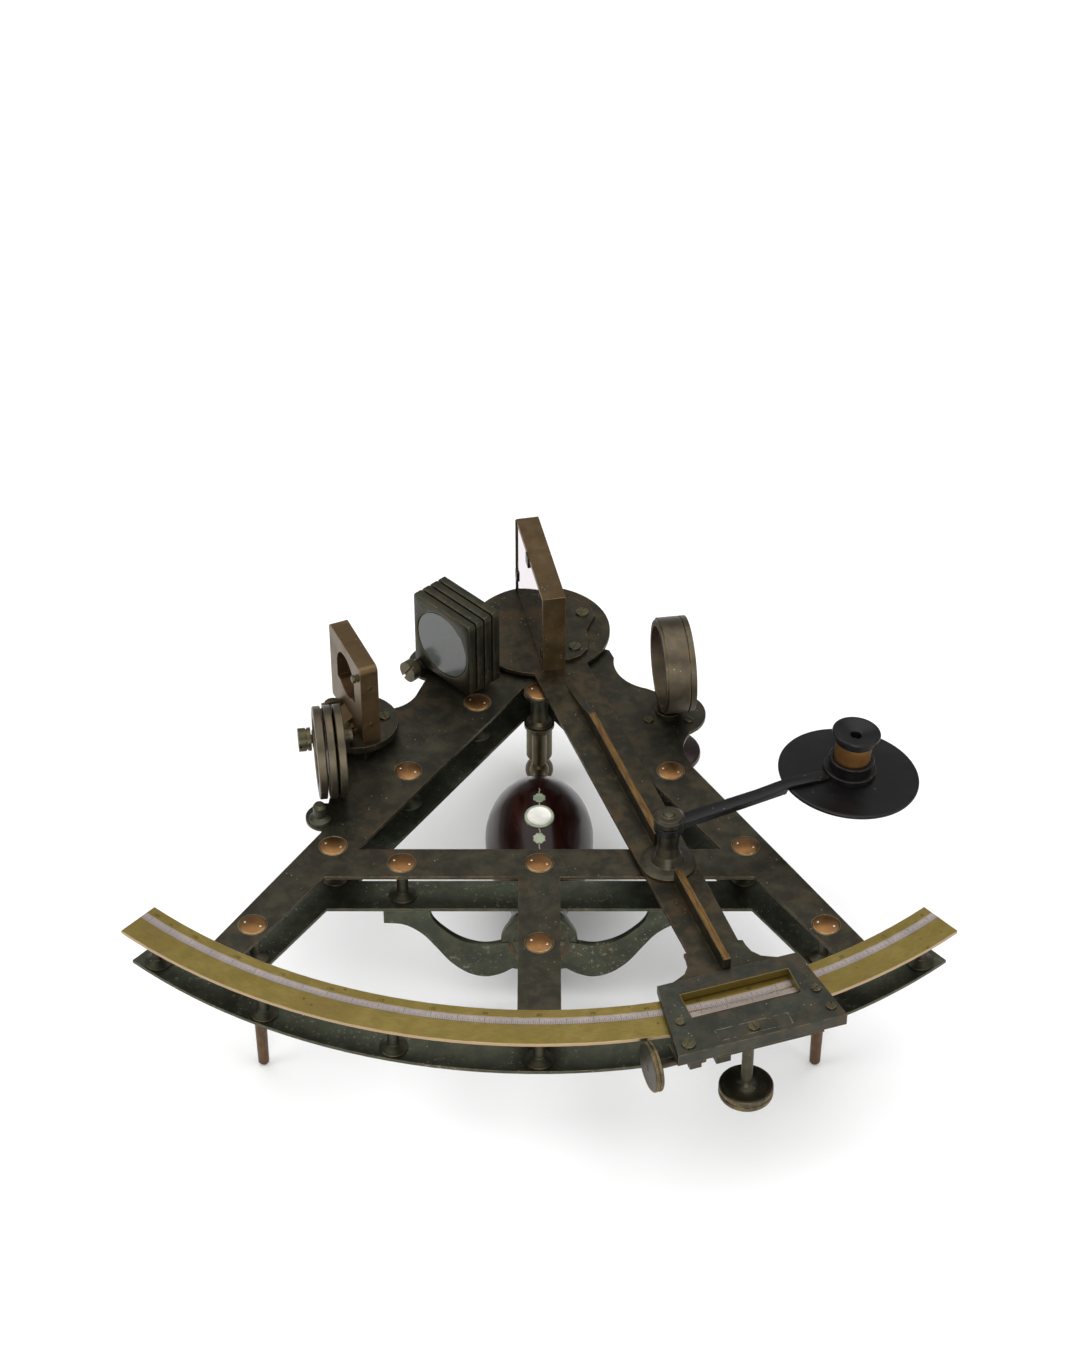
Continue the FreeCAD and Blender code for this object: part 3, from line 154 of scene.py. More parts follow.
def colour(name, description, default):
    return FloatVectorProperty(name=name, description=description, subtype="COLOR", size=4,
                               min=0.0, max=1.0, default=default)


class OctantSizes(bpy.types.PropertyGroup):
    turn_steps: IntProperty(name="Turning steps", description="Faces round a turned piece", default=96,
                            min=24)
    knob_teeth: IntProperty(name="Milling teeth", description="Teeth round a milled knob", default=84, min=12)
    tooth_depth: FloatProperty(name="Tooth depth", description="Depth of the milling on the knobs",
                               default=0.00016, unit="LENGTH")
    edge_width: FloatProperty(name="Edge wear", description="How far worn edges reach over a face",
                              default=0.0005, unit="LENGTH")
    edge_round: FloatProperty(name="Edge rounding",
                              description="Radius of the softened edges of cast and filed metal",
                              default=0.0003, unit="LENGTH")
    numeral_height: FloatProperty(name="Numeral height", description="Height of the numbers on the limb",
                                  default=0.0017, unit="LENGTH")
    division: FloatProperty(name="Division", description="Angle between two lines of the scale, in degrees of arc",
                            default=0.1667)


class OctantColours(bpy.types.PropertyGroup):
    bronze: colour("Bronze", "Dark lacquered bronze of the frame and the index arm", srgb(50, 48, 40))
    bronze_light: colour("Rubbed bronze", "Lighter patches of the frame", srgb(66, 62, 50))
    lower_bronze: colour("Lower bronze", "Grey-green bronze of the lower plate", srgb(62, 65, 54))
    copper_brown: colour("Copper brown", "Brown where the lacquer has worn through", srgb(84, 60, 40))
    verdigris: colour("Verdigris", "Grey-green bloom in the corners", srgb(78, 86, 72))
    worn_edge: colour("Worn edge", "Metal of rubbed edges", srgb(116, 96, 66))
    dust: colour("Dust", "Pale specks on the metal", srgb(150, 145, 128))
    limb: colour("Limb", "Olive brass of the arc", srgb(126, 112, 56))
    # Colours the limb's worn edges and also its painted highlight line along the outer edge.
    limb_wear_and_highlight: colour("Limb edge", "Pinkish copper of the arc's bright edge", srgb(178, 152, 128))
    silver: colour("Silver", "Dulled silver of the scales", srgb(150, 141, 138))
    copper: colour("Copper", "Domed heads of the pillar screws", srgb(108, 76, 44))
    rib_brass: colour("Rib brass", "Bright brown brass on top of the ribs", srgb(124, 98, 54))
    frame_brass: colour("Mirror brass", "Brown brass of mirror and shade frames", srgb(88, 72, 48))
    turned_brass: colour("Turned brass", "Darkened brass of pillars and feet", srgb(78, 70, 52))
    lacquer: colour("Lacquer", "Black lacquer of the magnifier", srgb(9, 9, 10))
    tan_band: colour("Tan band", "Tan lacquered brass of the magnifier's tube", srgb(132, 94, 50))
    wood: colour("Wood", "Dark red-brown wood of the handle", srgb(22, 7, 5))
    wood_light: colour("Wood light", "Lighter grain lines in the wood", srgb(40, 14, 10))
    shade_glass: colour("Shade glass", "Dark neutral glass", srgb(74, 77, 75))
    mirror: colour("Mirror", "Old silvering with a faint pink cast", srgb(196, 184, 190))


class Wiring:
    """Adds shader nodes to a tree and joins them up."""

    def __init__(self, tree):
        self.tree = tree

    def node(self, kind, inputs=(), **settings):
        made = self.tree.nodes.new(kind)
        for name, value in settings.items():
            setattr(made, name, value)
        for name, value in dict(inputs).items():
            self.feed(value, made.inputs[name])
        return made

    def feed(self, value, socket):
        if isinstance(value, bpy.types.NodeSocket):
            self.tree.links.new(value, socket)
        else:
            socket.default_value = value

    def math(self, operation, a, b=0.0, c=0.0):
        return self.node("ShaderNodeMath", {0: a, 1: b, 2: c}, operation=operation).outputs[0]

    def times(self, *values):
        total = values[0]
        for value in values[1:]:
            total = self.math("MULTIPLY", total, value)
        return total

    def most(self, *values):
        total = values[0]
        for value in values[1:]:
            total = self.math("MAXIMUM", total, value)
        return total

    def fade(self, value, low, high):
        """0 below low, 1 above high, smooth between; low may lie above high."""
        inputs = {"Value": value, "From Min": low, "From Max": high}
        return self.node("ShaderNodeMapRange", inputs, interpolation_type="SMOOTHSTEP").outputs[0]

    def spread(self, value, low, high):
        return self.node("ShaderNodeMapRange", {"Value": value, "To Min": low, "To Max": high}).outputs[0]

    def band(self, value, low, high, soft):
        """1 between low and high, with soft edges."""
        return self.times(self.fade(value, low - soft, low), self.fade(value, high + soft, high))

    def mix(self, factor, a, b, blend="MIX"):
        made = self.node("ShaderNodeMix", {0: factor, 6: a, 7: b}, data_type="RGBA", blend_type=blend)
        return made.outputs[2]

    def noise(self, vector, scale, detail=3.0, roughness=0.5, distortion=0.0):
        inputs = {"Vector": vector, "Scale": scale, "Detail": detail, "Roughness": roughness,
                  "Distortion": distortion}
        return self.node("ShaderNodeTexNoise", inputs).outputs[0]

    def cells(self, vector, scale):
        return self.node("ShaderNodeTexVoronoi", {"Vector": vector, "Scale": scale}).outputs["Distance"]

    def place(self):
        return self.node("ShaderNodeTexCoord").outputs["Object"]

    def moved(self, vector, shift=(0.0, 0.0, 0.0), turn=(0.0, 0.0, 0.0), scale=(1.0, 1.0, 1.0), kind="POINT"):
        inputs = {"Vector": vector, "Location": shift, "Rotation": turn, "Scale": scale}
        return self.node("ShaderNodeMapping", inputs, vector_type=kind).outputs[0]

    def split(self, vector):
        return self.node("ShaderNodeSeparateXYZ", {0: vector}).outputs

    def joined(self, x, y, z):
        return self.node("ShaderNodeCombineXYZ", {0: x, 1: y, 2: z}).outputs[0]


def node_group(name, inputs, outputs):
    """An empty shader node group with its sockets; returns its wiring, its inputs and its output node."""
    group = bpy.data.node_groups.new(name, "ShaderNodeTree")
    kinds = {"colour": "NodeSocketColor", "value": "NodeSocketFloat", "vector": "NodeSocketVector"}
    for label, kind, default in inputs:
        socket = group.interface.new_socket(name=label, in_out="INPUT", socket_type=kinds[kind])
        socket.default_value = default
    for label, kind in outputs:
        group.interface.new_socket(name=label, in_out="OUTPUT", socket_type=kinds[kind])
    return Wiring(group), group.nodes.new("NodeGroupInput").outputs, group.nodes.new("NodeGroupOutput").inputs


def build_edge_wear_group():
    """Where a face meets an edge, broken up by noise, and the normal of the softened edge."""
    w, given, out = node_group("Octant edge wear", [("Width", "value", 0.0005), ("Rounding", "value", 0.0003),
                                                    ("Breakup", "value", 260.0)],
                               [("Mask", "value"), ("Normal", "vector")])
    wide = w.node("ShaderNodeBevel", {"Radius": given["Width"]}, samples=6)
    fine = w.node("ShaderNodeBevel", {"Radius": given["Rounding"]}, samples=4)
    face = w.node("ShaderNodeNewGeometry").outputs["Normal"]
    lean = w.node("ShaderNodeVectorMath", {0: wide.outputs[0], 1: face},
                  operation="DOT_PRODUCT").outputs["Value"]
    near = w.fade(lean, 0.995, 0.9)
    patches = w.fade(w.noise(w.place(), given["Breakup"], 4.0, 0.6), 0.36, 0.6)
    w.feed(w.times(near, patches), out["Mask"])
    w.feed(fine.outputs[0], out["Normal"])


def build_tarnish_group():
    """Brown and green patches, pale specks, scratches and a roughness that follows them."""
    w, given, out = node_group(
        "Octant tarnish",
        [("Base", "colour", (0.05, 0.05, 0.04, 1.0)), ("Light", "colour", (0.1, 0.1, 0.08, 1.0)),
         ("Brown", "colour", (0.2, 0.1, 0.05, 1.0)), ("Green", "colour", (0.1, 0.15, 0.1, 1.0)),
         ("Speck", "colour", (0.5, 0.5, 0.4, 1.0)), ("Brown Amount", "value", 0.5),
         ("Green Amount", "value", 0.5), ("Speck Amount", "value", 0.5)],
        [("Color", "colour"), ("Roughness", "value"), ("Height", "value")])
    spot = w.place()
    large = w.noise(spot, 34.0, 5.0, 0.6, 0.4)
    medium = w.noise(spot, 150.0, 6.0, 0.62, 0.3)
    fine = w.noise(spot, 1300.0, 3.0, 0.6)
    shade = w.mix(w.fade(medium, 0.38, 0.66), given["Base"], given["Light"])
    brown = w.times(w.fade(large, 0.48, 0.64), w.fade(medium, 0.4, 0.62), given["Brown Amount"])
    shade = w.mix(brown, shade, given["Brown"])
    cloud = w.noise(w.moved(spot, (0.31, 0.17, 0.05)), 52.0, 7.0, 0.68, 0.5)
    bloom = w.times(w.fade(cloud, 0.5, 0.7), w.fade(fine, 0.3, 0.62), given["Green Amount"])
    shade = w.mix(bloom, shade, given["Green"])
    dots = w.times(w.fade(w.cells(spot, 520.0), 0.16, 0.08), w.fade(w.noise(spot, 90.0, 2.0), 0.52, 0.66))
    shade = w.mix(w.times(dots, given["Speck Amount"]), shade, given["Speck"])
    rub = w.noise(w.moved(spot, turn=(0.0, 0.0, 0.6), scale=(1.0, 9.0, 1.0)), 420.0, 4.0, 0.6)
    rough = w.math("ADD", w.spread(medium, 0.3, 0.56), w.times(bloom, 0.3))
    rough = w.math("ADD", rough, w.spread(rub, -0.06, 0.06))
    height = w.math("ADD", w.times(fine, 0.35), w.times(medium, 0.65))
    w.feed(shade, out["Color"])
    w.feed(rough, out["Roughness"])
    w.feed(w.math("ADD", height, w.times(bloom, 0.5)), out["Height"])


def build_polar_group():
    """Millimetres from the index arm's centre line and degrees of arc from the middle of the limb."""
    w, given, out = node_group("Octant polar", [("Turn", "value", 0.0)],
                               [("Radius", "value"), ("Angle", "value"), ("Height", "value")])
    x, y, z = w.split(w.moved(w.place(), tuple(-value for value in PIVOT)))
    radius = w.math("SQRT", w.math("ADD", w.math("MULTIPLY", x, x), w.math("MULTIPLY", y, y)))
    angle = w.math("ARCTAN2", x, w.math("MULTIPLY", y, -1.0))
    degrees = w.math("ADD", w.times(angle, 180.0 / math.pi), given["Turn"])
    w.feed(w.times(radius, 1.0 / MM), out["Radius"])
    w.feed(degrees, out["Angle"])
    w.feed(w.times(z, 1.0 / MM), out["Height"])


def build_groups():
    build_edge_wear_group()
    build_tarnish_group()
    build_polar_group()


def group_node(w, name, inputs=()):
    made = w.node("ShaderNodeGroup", node_tree=bpy.data.node_groups[name])
    for label, value in dict(inputs).items():
        w.feed(value, made.inputs[label])
    return made.outputs


def new_finish(name):
    """An empty material with its Principled shader; returns the material, its wiring and the shader's inputs."""
    finish = bpy.data.materials.new(name)
    finish.use_nodes = True
    finish.node_tree.nodes.clear()
    w = Wiring(finish.node_tree)
    shader = w.node("ShaderNodeBsdfPrincipled")
    output = w.node("ShaderNodeOutputMaterial")
    w.feed(shader.outputs[0], output.inputs[0])
    return finish, w, shader.inputs


def metal(name, base, light, brown=None, green=None, worn=None, amounts=(0.5, 0.5, 0.5), wear=0.8,
          metallic=0.9,
          bump=0.3, gloss=0.0, details=None):
    """Aged metal. details may repaint it: it gets the wiring and a dict of colour and roughness."""
    tones = bpy.context.scene.octant_colours
    sizes = bpy.context.scene.octant_sizes
    finish, w, shader = new_finish(name)
    tarnish = group_node(w, "Octant tarnish", {
        "Base": base, "Light": light, "Brown": brown or tones.copper_brown, "Green": green or tones.verdigris,
        "Speck": tones.dust, "Brown Amount": amounts[0], "Green Amount": amounts[1],
        "Speck Amount": amounts[2]})
    edge = group_node(w, "Octant edge wear", {"Width": sizes.edge_width, "Rounding": sizes.edge_round})
    look = {"colour": tarnish["Color"], "rough": w.math("SUBTRACT", tarnish["Roughness"], gloss),
            "height": tarnish["Height"], "edge": edge["Mask"]}
    if details:
        details(w, look)
    # Worn edges; for the limb the edge mask also holds a painted highlight line.
    look["colour"] = w.mix(w.times(look["edge"], wear), look["colour"], worn or tones.worn_edge)
    w.feed(look["colour"], shader["Base Color"])
    w.feed(w.math("SUBTRACT", look["rough"], w.times(look["edge"], 0.08)), shader["Roughness"])
    shader["Metallic"].default_value = metallic
    relief = w.node("ShaderNodeBump", {"Strength": bump, "Distance": 0.0002, "Height": look["height"],
                                       "Normal": edge["Normal"]})
    w.feed(relief.outputs[0], shader["Normal"])
    return finish


def rib_details(w, look):
    """Brass tops on the ribs of the index arm."""
    tones = bpy.context.scene.octant_colours
    across, along, height = arm_plane(w)
    top = w.times(w.fade(height, ARM_TOP + RIB_HEIGHT - 0.25, ARM_TOP + RIB_HEIGHT - 0.1),
                  w.fade(w.math("ABSOLUTE", across), 1.25, 0.95))
    streak = w.noise(w.joined(w.times(across, 1.6), w.times(along, 0.12), 0.0), 1.0, 5.0, 0.65)
    brass = w.mix(w.fade(streak, 0.36, 0.66), tones.rib_brass, tones.copper_brown)
    look["colour"] = w.mix(top, look["colour"], brass)


def arm_plane(w):
    """The place on the index arm in millimetres: across it and along it."""
    flat = w.moved(w.place(), tuple(-value for value in PIVOT))
    turned = w.moved(flat, turn=(0.0, 0.0, -ARM_ANGLE), scale=(1.0 / MM,) * 3)
    return w.split(turned)


def vernier_details(w, look):
    """Bright window edges, a browned slope under the window and faint engraved lines round the middle screw."""
    tones = bpy.context.scene.octant_colours
    across, along, height = arm_plane(w)
    beside = w.math("ABSOLUTE", across)
    in_window = w.times(w.fade(beside, WINDOW_HALF + 0.35, WINDOW_HALF + 0.1),
                        w.band(along, WINDOW_BOTTOM - 0.1, WINDOW_TOP + 0.12, 0.1))
    slope = w.times(w.fade(beside, WINDOW_HALF + 0.1, WINDOW_HALF),
                    w.band(along, WINDOW_BOTTOM - WINDOW_BEVEL, WINDOW_BOTTOM, 0.15))
    grain = w.noise(w.place(), 320.0, 4.0, 0.6)
    look["colour"] = w.mix(w.times(slope, w.fade(grain, 0.3, 0.6), 0.75), look["colour"], tones.frame_brass)
    look["colour"] = w.mix(w.times(in_window, 0.9), look["colour"], tones.limb)
    frame_across = w.math("ABSOLUTE", w.math("ADD", across, 1.5))
    frame_along = w.math("ABSOLUTE", w.math("ADD", along, 218.5))
    outside = w.most(w.math("SUBTRACT", frame_across, 12.5), w.math("SUBTRACT", frame_along, 2.4))
    line = w.band(outside, -0.1, 0.1, 0.12)
    line = w.times(line, w.fade(w.noise(w.place(), 500.0, 3.0), 0.42, 0.55),
                   w.fade(height, VERNIER_TOP_FACE - 0.3, VERNIER_TOP_FACE - 0.1))
    look["colour"] = w.mix(w.times(line, 0.35), look["colour"], tones.dust)


def limb_details(w, look):
    """Turning grain along the arc, small dark spots, and a painted highlight: a pinkish bright line along the
    outer edge.
    """
    tones = bpy.context.scene.octant_colours
    polar = group_node(w, "Octant polar")
    grain = w.noise(w.joined(w.times(polar["Radius"], 2.2), w.times(polar["Angle"], 0.35), 0.0), 2.4, 6.0,
                    0.7)
    look["colour"] = w.mix(w.times(w.fade(grain, 0.35, 0.7), 0.4), look["colour"], tones.copper_brown)
    spots = w.times(w.fade(w.cells(w.place(), 260.0), 0.2, 0.06),
                    w.fade(w.noise(w.place(), 70.0, 3.0), 0.5, 0.62))
    look["colour"] = w.mix(w.times(spots, 0.7), look["colour"], tones.bronze)
    # Painted highlight: a bright line along the outer edge, put into the worn-edge mask.
    rim = w.times(w.fade(polar["Radius"], LIMB_RADIUS - 0.1, LIMB_RADIUS - 0.02), 0.8)
    look["edge"] = w.most(look["edge"], rim)
    look["rough"] = w.math("ADD", look["rough"], w.spread(grain, -0.08, 0.08))


def scale_lines(w, radius, angle, base, inward, step):
    """Engraved lines of three lengths from a base circle: each step, each third step and each fifteenth."""
    lines = None
    for each, length, width in ((1, 1.1, 0.07), (3, 1.7, 0.08), (15, 2.6, 0.1)):
        turns = w.math("FRACT", w.math("ADD", w.math("DIVIDE", angle, step * each), 100.5))
        away = w.math("ABSOLUTE", w.math("SUBTRACT", turns, 0.5))
        apart = w.times(away, radius, step * each * math.pi / 180.0)
        line = w.times(w.fade(apart, width + 0.05, width - 0.02),
                       w.band(radius, min(base, base + inward * length), max(base, base + inward * length),
                              0.05))
        lines = line if lines is None else w.most(lines, line)
    return lines


def silver_details(w, look):
    """The divisions of the limb's silver band, from its outer circle inwards."""
    tones = bpy.context.scene.octant_colours
    polar = group_node(w, "Octant polar")
    step = bpy.context.scene.octant_sizes.division
    lines = scale_lines(w, polar["Radius"], polar["Angle"], SCALE_RADIUS, -1.0, step)
    circle = w.band(polar["Radius"], SCALE_RADIUS - 0.14, SCALE_RADIUS - 0.04, 0.03)
    look["colour"] = w.mix(w.times(w.most(lines, circle), 0.62), look["colour"], tones.bronze)
    grain = w.noise(w.joined(w.times(polar["Radius"], 3.0), w.times(polar["Angle"], 0.4), 0.0), 2.0, 5.0, 0.7)
    look["colour"] = w.mix(w.times(w.fade(grain, 0.45, 0.75), 0.3), look["colour"], tones.copper_brown)


def vernier_scale_details(w, look):
    """The vernier's divisions, from its inner edge outwards."""
    tones = bpy.context.scene.octant_colours
    polar = group_node(w, "Octant polar")
    step = bpy.context.scene.octant_sizes.division * VERNIER_PARTS
    lines = scale_lines(w, polar["Radius"], polar["Angle"], SCALE_RADIUS, 1.0, step)
    look["colour"] = w.mix(w.times(lines, 0.6), look["colour"], tones.bronze)


def copper_head_glints(w, look):
    """Painted glints: a near-white colour on the floors of the two spanner holes of each head."""
    height = group_node(w, "Octant polar")["Height"]
    up = w.split(w.node("ShaderNodeNewGeometry").outputs["Normal"])[2]
    # Painted highlight: near-white hole floors stand in for glints.
    floor = w.times(w.band(height, UPPER_TOP + 0.16, UPPER_TOP + 0.23, 0.02), w.fade(up, 0.99, 0.999))
    look["colour"] = w.mix(floor, look["colour"], (0.9, 0.87, 0.8, 1.0))


def speckle_details(w, look):
    """Pale green flecks of many sizes, thickest in patches."""
    tones = bpy.context.scene.octant_colours
    patches = w.fade(w.noise(w.place(), 38.0, 4.0, 0.6), 0.4, 0.62)
    flecks = w.fade(w.noise(w.place(), 620.0, 5.0, 0.75), 0.56, 0.66)
    look["colour"] = w.mix(w.times(patches, flecks, 0.7), look["colour"], tones.dust)
    look["rough"] = w.math("ADD", look["rough"], w.times(patches, flecks, 0.2))


def wood():
    """Dark polished hardwood: grain along the handle, pores and a few open cracks."""
    tones = bpy.context.scene.octant_colours
    finish, w, shader = new_finish("dark hardwood")
    long_way = w.moved(w.place(), scale=(1.0, 0.09, 1.0))
    grain = w.noise(long_way, 420.0, 6.0, 0.62, 0.8)
    bands = w.noise(w.moved(w.place(), scale=(1.0, 0.2, 1.0)), 90.0, 4.0, 0.55, 1.2)
    shade = w.mix(w.fade(grain, 0.44, 0.72), tones.wood, tones.wood_light)
    shade = w.mix(w.times(w.fade(bands, 0.4, 0.62), 0.75), shade, tones.wood)
    across, along, height = w.split(w.moved(w.place(), tuple(-value for value in PIVOT)))
    wander = w.spread(w.noise(w.joined(0.0, along, 0.0), 260.0, 3.0, 0.7), -1.2 * MM, 1.2 * MM)
    off_line = w.math("ABSOLUTE", w.math("SUBTRACT", across, wander))
    crack = w.times(w.fade(off_line, 0.28 * MM, 0.14 * MM), w.fade(height, -30.0 * MM, -28.0 * MM),
                    w.band(along, CRACK_TO * MM, CRACK_FROM * MM, 1.0 * MM))
    shade = w.mix(w.times(crack, 0.75), shade, tones.dust)
    w.feed(shade, shader["Base Color"])
    w.feed(w.math("ADD", w.spread(grain, 0.14, 0.3), w.times(crack, 0.4)), shader["Roughness"])
    shader["Specular IOR Level"].default_value = 0.2
    relief = w.node("ShaderNodeBump", {"Strength": 0.08, "Distance": 0.0002, "Height": grain})
    w.feed(relief.outputs[0], shader["Normal"])
    return finish


def lacquer():
    """Glossy black lacquer, worn through on the edges, with dust and fine rubbing."""
    tones = bpy.context.scene.octant_colours
    sizes = bpy.context.scene.octant_sizes
    finish, w, shader = new_finish("black lacquer")
    cloud = w.noise(w.place(), 120.0, 5.0, 0.6)
    shade = w.mix(w.fade(cloud, 0.42, 0.7), tones.lacquer, srgb(15, 15, 15))
    dots = w.times(w.fade(w.cells(w.place(), 400.0), 0.12, 0.05), w.fade(w.noise(w.place(), 60.0), 0.5, 0.6))
    shade = w.mix(w.times(dots, 0.35), shade, tones.dust)
    edge = group_node(w, "Octant edge wear", {"Width": sizes.edge_width * 0.7, "Rounding": sizes.edge_round})
    shade = w.mix(w.times(edge["Mask"], 0.55), shade, tones.copper_brown)
    w.feed(shade, shader["Base Color"])
    w.feed(w.spread(cloud, 0.24, 0.5), shader["Roughness"])
    shader["Specular IOR Level"].default_value = 0.22
    relief = w.node("ShaderNodeBump", {"Strength": 0.12, "Distance": 0.0001, "Height": cloud,
                                       "Normal": edge["Normal"]})
    w.feed(relief.outputs[0], shader["Normal"])
    return finish


def glass(name, base, transmission, rough, dirt=0.4):
    """Old glass with a little haze and dust."""
    tones = bpy.context.scene.octant_colours
    finish, w, shader = new_finish(name)
    haze = w.noise(w.place(), 180.0, 5.0, 0.6)
    shade = w.mix(w.times(w.fade(haze, 0.5, 0.75), dirt), base, tones.dust)
    dots = w.times(w.fade(w.cells(w.place(), 380.0), 0.1, 0.04), w.fade(w.noise(w.place(), 80.0), 0.5, 0.62))
    w.feed(w.mix(w.times(dots, 0.5), shade, tones.dust), shader["Base Color"])
    w.feed(w.spread(haze, rough * 0.7, rough * 1.6), shader["Roughness"])
    shader["Transmission Weight"].default_value = transmission
    shader["IOR"].default_value = 1.5
    return finish


def mirror(name, facing):
    """Silvering with a little foxing on the two broad faces, square to facing; the edges are painted."""
    tones = bpy.context.scene.octant_colours
    finish, w, shader = new_finish(name)
    outwards = w.node("ShaderNodeNewGeometry").outputs["Normal"]
    lean = w.node("ShaderNodeVectorMath", {0: outwards, 1: (facing[0], facing[1], 0.0)},
                  operation="DOT_PRODUCT")
    face = w.fade(w.math("ABSOLUTE", lean.outputs["Value"]), 0.5, 0.6)
    fox = w.times(w.fade(w.noise(w.place(), 210.0, 6.0, 0.7), 0.6, 0.74), 0.7)
    silvered = w.mix(fox, tones.mirror, tones.bronze)
    stain = w.fade(w.noise(w.place(), 160.0, 4.0, 0.6), 0.45, 0.7)
    paint = w.mix(stain, srgb(214, 206, 204), srgb(190, 172, 166))
    w.feed(w.mix(face, paint, silvered), shader["Base Color"])
    w.feed(w.math("SUBTRACT", 0.45, w.times(face, w.math("SUBTRACT", 0.4, w.times(fox, 0.4)))),
           shader["Roughness"])
    w.feed(face, shader["Metallic"])
    return finish


def make_finishes():
    """Every finish of the instrument, by the plain name of what it covers."""
    tones = bpy.context.scene.octant_colours
    return {
        "plate": metal("frame bronze", tones.bronze, tones.bronze_light, amounts=(0.35, 0.25, 0.8)),
        "arm": metal("arm bronze", tones.bronze, srgb(72, 64, 48), amounts=(0.5, 0.25, 0.8),
                     details=rib_details),
        "vernier": metal("vernier plate bronze", srgb(52, 53, 47), srgb(66, 65, 56), amounts=(0.3, 0.4, 0.8),
                         details=vernier_details),
        "lower": metal("lower plate bronze", tones.lower_bronze, srgb(76, 78, 64), green=srgb(88, 98, 80),
                       amounts=(0.2, 0.8, 1.0), details=speckle_details),
        "limb": metal("limb brass", tones.limb, srgb(138, 122, 66), srgb(100, 82, 44), worn=tones.limb_wear_and_highlight,
                      amounts=(0.5, 0.12, 0.5), details=limb_details, gloss=0.04),
        "silver": metal("scale silver", tones.silver, srgb(164, 154, 150), srgb(122, 104, 92),
                        amounts=(0.4, 0.1, 0.3), wear=0.2, metallic=0.75, details=silver_details),
        "vernier silver": metal("vernier silver", srgb(132, 123, 116), srgb(148, 138, 130), srgb(104, 86, 70),
                                amounts=(0.5, 0.1, 0.3), wear=0.2, metallic=0.75,
                                details=vernier_scale_details),
        "pillar": metal("pillar bronze", srgb(56, 56, 46), srgb(72, 70, 56), amounts=(0.3, 0.7, 0.6)),
        "turned": metal("turned brass", tones.turned_brass, srgb(98, 86, 60), amounts=(0.5, 0.3, 0.4)),
        "foot": metal("foot copper", srgb(84, 66, 50), srgb(104, 80, 58), amounts=(0.5, 0.3, 0.3)),
        "copper": metal("copper heads", tones.copper, srgb(128, 92, 54), srgb(84, 56, 34),
                        worn=srgb(150, 130, 96),
                        amounts=(0.6, 0.0, 0.3), details=copper_head_glints, gloss=0.1),
        "screw": metal("screw brass", srgb(66, 64, 48), srgb(88, 84, 62), amounts=(0.4, 0.6, 0.6), wear=1.0),
        "mirror frame": metal("mirror frame brass", tones.frame_brass, srgb(104, 84, 58), srgb(70, 50, 34),
                              amounts=(0.6, 0.2, 1.0), worn=srgb(136, 108, 74)),
        "ring brass": metal("ring brass", srgb(72, 66, 54), srgb(90, 80, 64), srgb(78, 58, 42),
                            amounts=(0.6, 0.3, 0.8), worn=srgb(124, 104, 74)),
        "shade frame": metal("shade frame bronze", srgb(52, 52, 44), srgb(66, 62, 48), srgb(70, 56, 38),
                             amounts=(0.4, 0.2, 0.7), worn=srgb(112, 96, 64)),
        "knob": metal("knob bronze", srgb(58, 56, 45), srgb(76, 70, 54), amounts=(0.4, 0.3, 0.5),
                      worn=srgb(134, 116, 82), wear=1.0),
        "red knob": metal("red-brown knob", srgb(36, 18, 17), srgb(52, 26, 24), amounts=(0.3, 0.0, 0.3),
                          gloss=0.15,
                          metallic=0.5),
        "lacquer": lacquer(),
        "tan": metal("tan lacquered brass", tones.tan_band, srgb(150, 110, 62), srgb(96, 62, 34),
                     amounts=(0.8, 0.0, 0.3), metallic=0.8, gloss=0.08),
        "lens": glass("lens glass", srgb(236, 240, 238), 1.0, 0.03, 0.05),
        "shade glass": glass("dark shade glass", tones.shade_glass, 0.0, 0.16, 0.08),
        "pale glass": glass("pale shade glass", srgb(222, 226, 226), 0.9, 0.03, 0.08),
        "mirror": mirror("index mirror silvering",
                         (-math.cos(INDEX_MIRROR_TURN), -math.sin(INDEX_MIRROR_TURN))),
        "horizon mirror": mirror("horizon mirror silvering",
                                 (math.cos(HORIZON_TURN), math.sin(HORIZON_TURN))),
        "wood": wood(),
        "inlay silver": metal("inlay silver", srgb(190, 190, 182), srgb(214, 212, 204), srgb(120, 110, 90),
                              srgb(120, 138, 112), amounts=(0.1, 0.2, 0.4), metallic=0.35, gloss=0.1),
        "bloom": metal("ring bloom", srgb(66, 62, 48), srgb(96, 92, 74), green=srgb(128, 132, 110),
                       amounts=(0.3, 1.0, 1.0), metallic=0.6),
        "inlay green": metal("green inlay", srgb(118, 130, 108), srgb(146, 152, 130), srgb(98, 92, 70),
                             srgb(110, 128, 100), amounts=(0.3, 0.5, 0.6), metallic=0.35),
    }


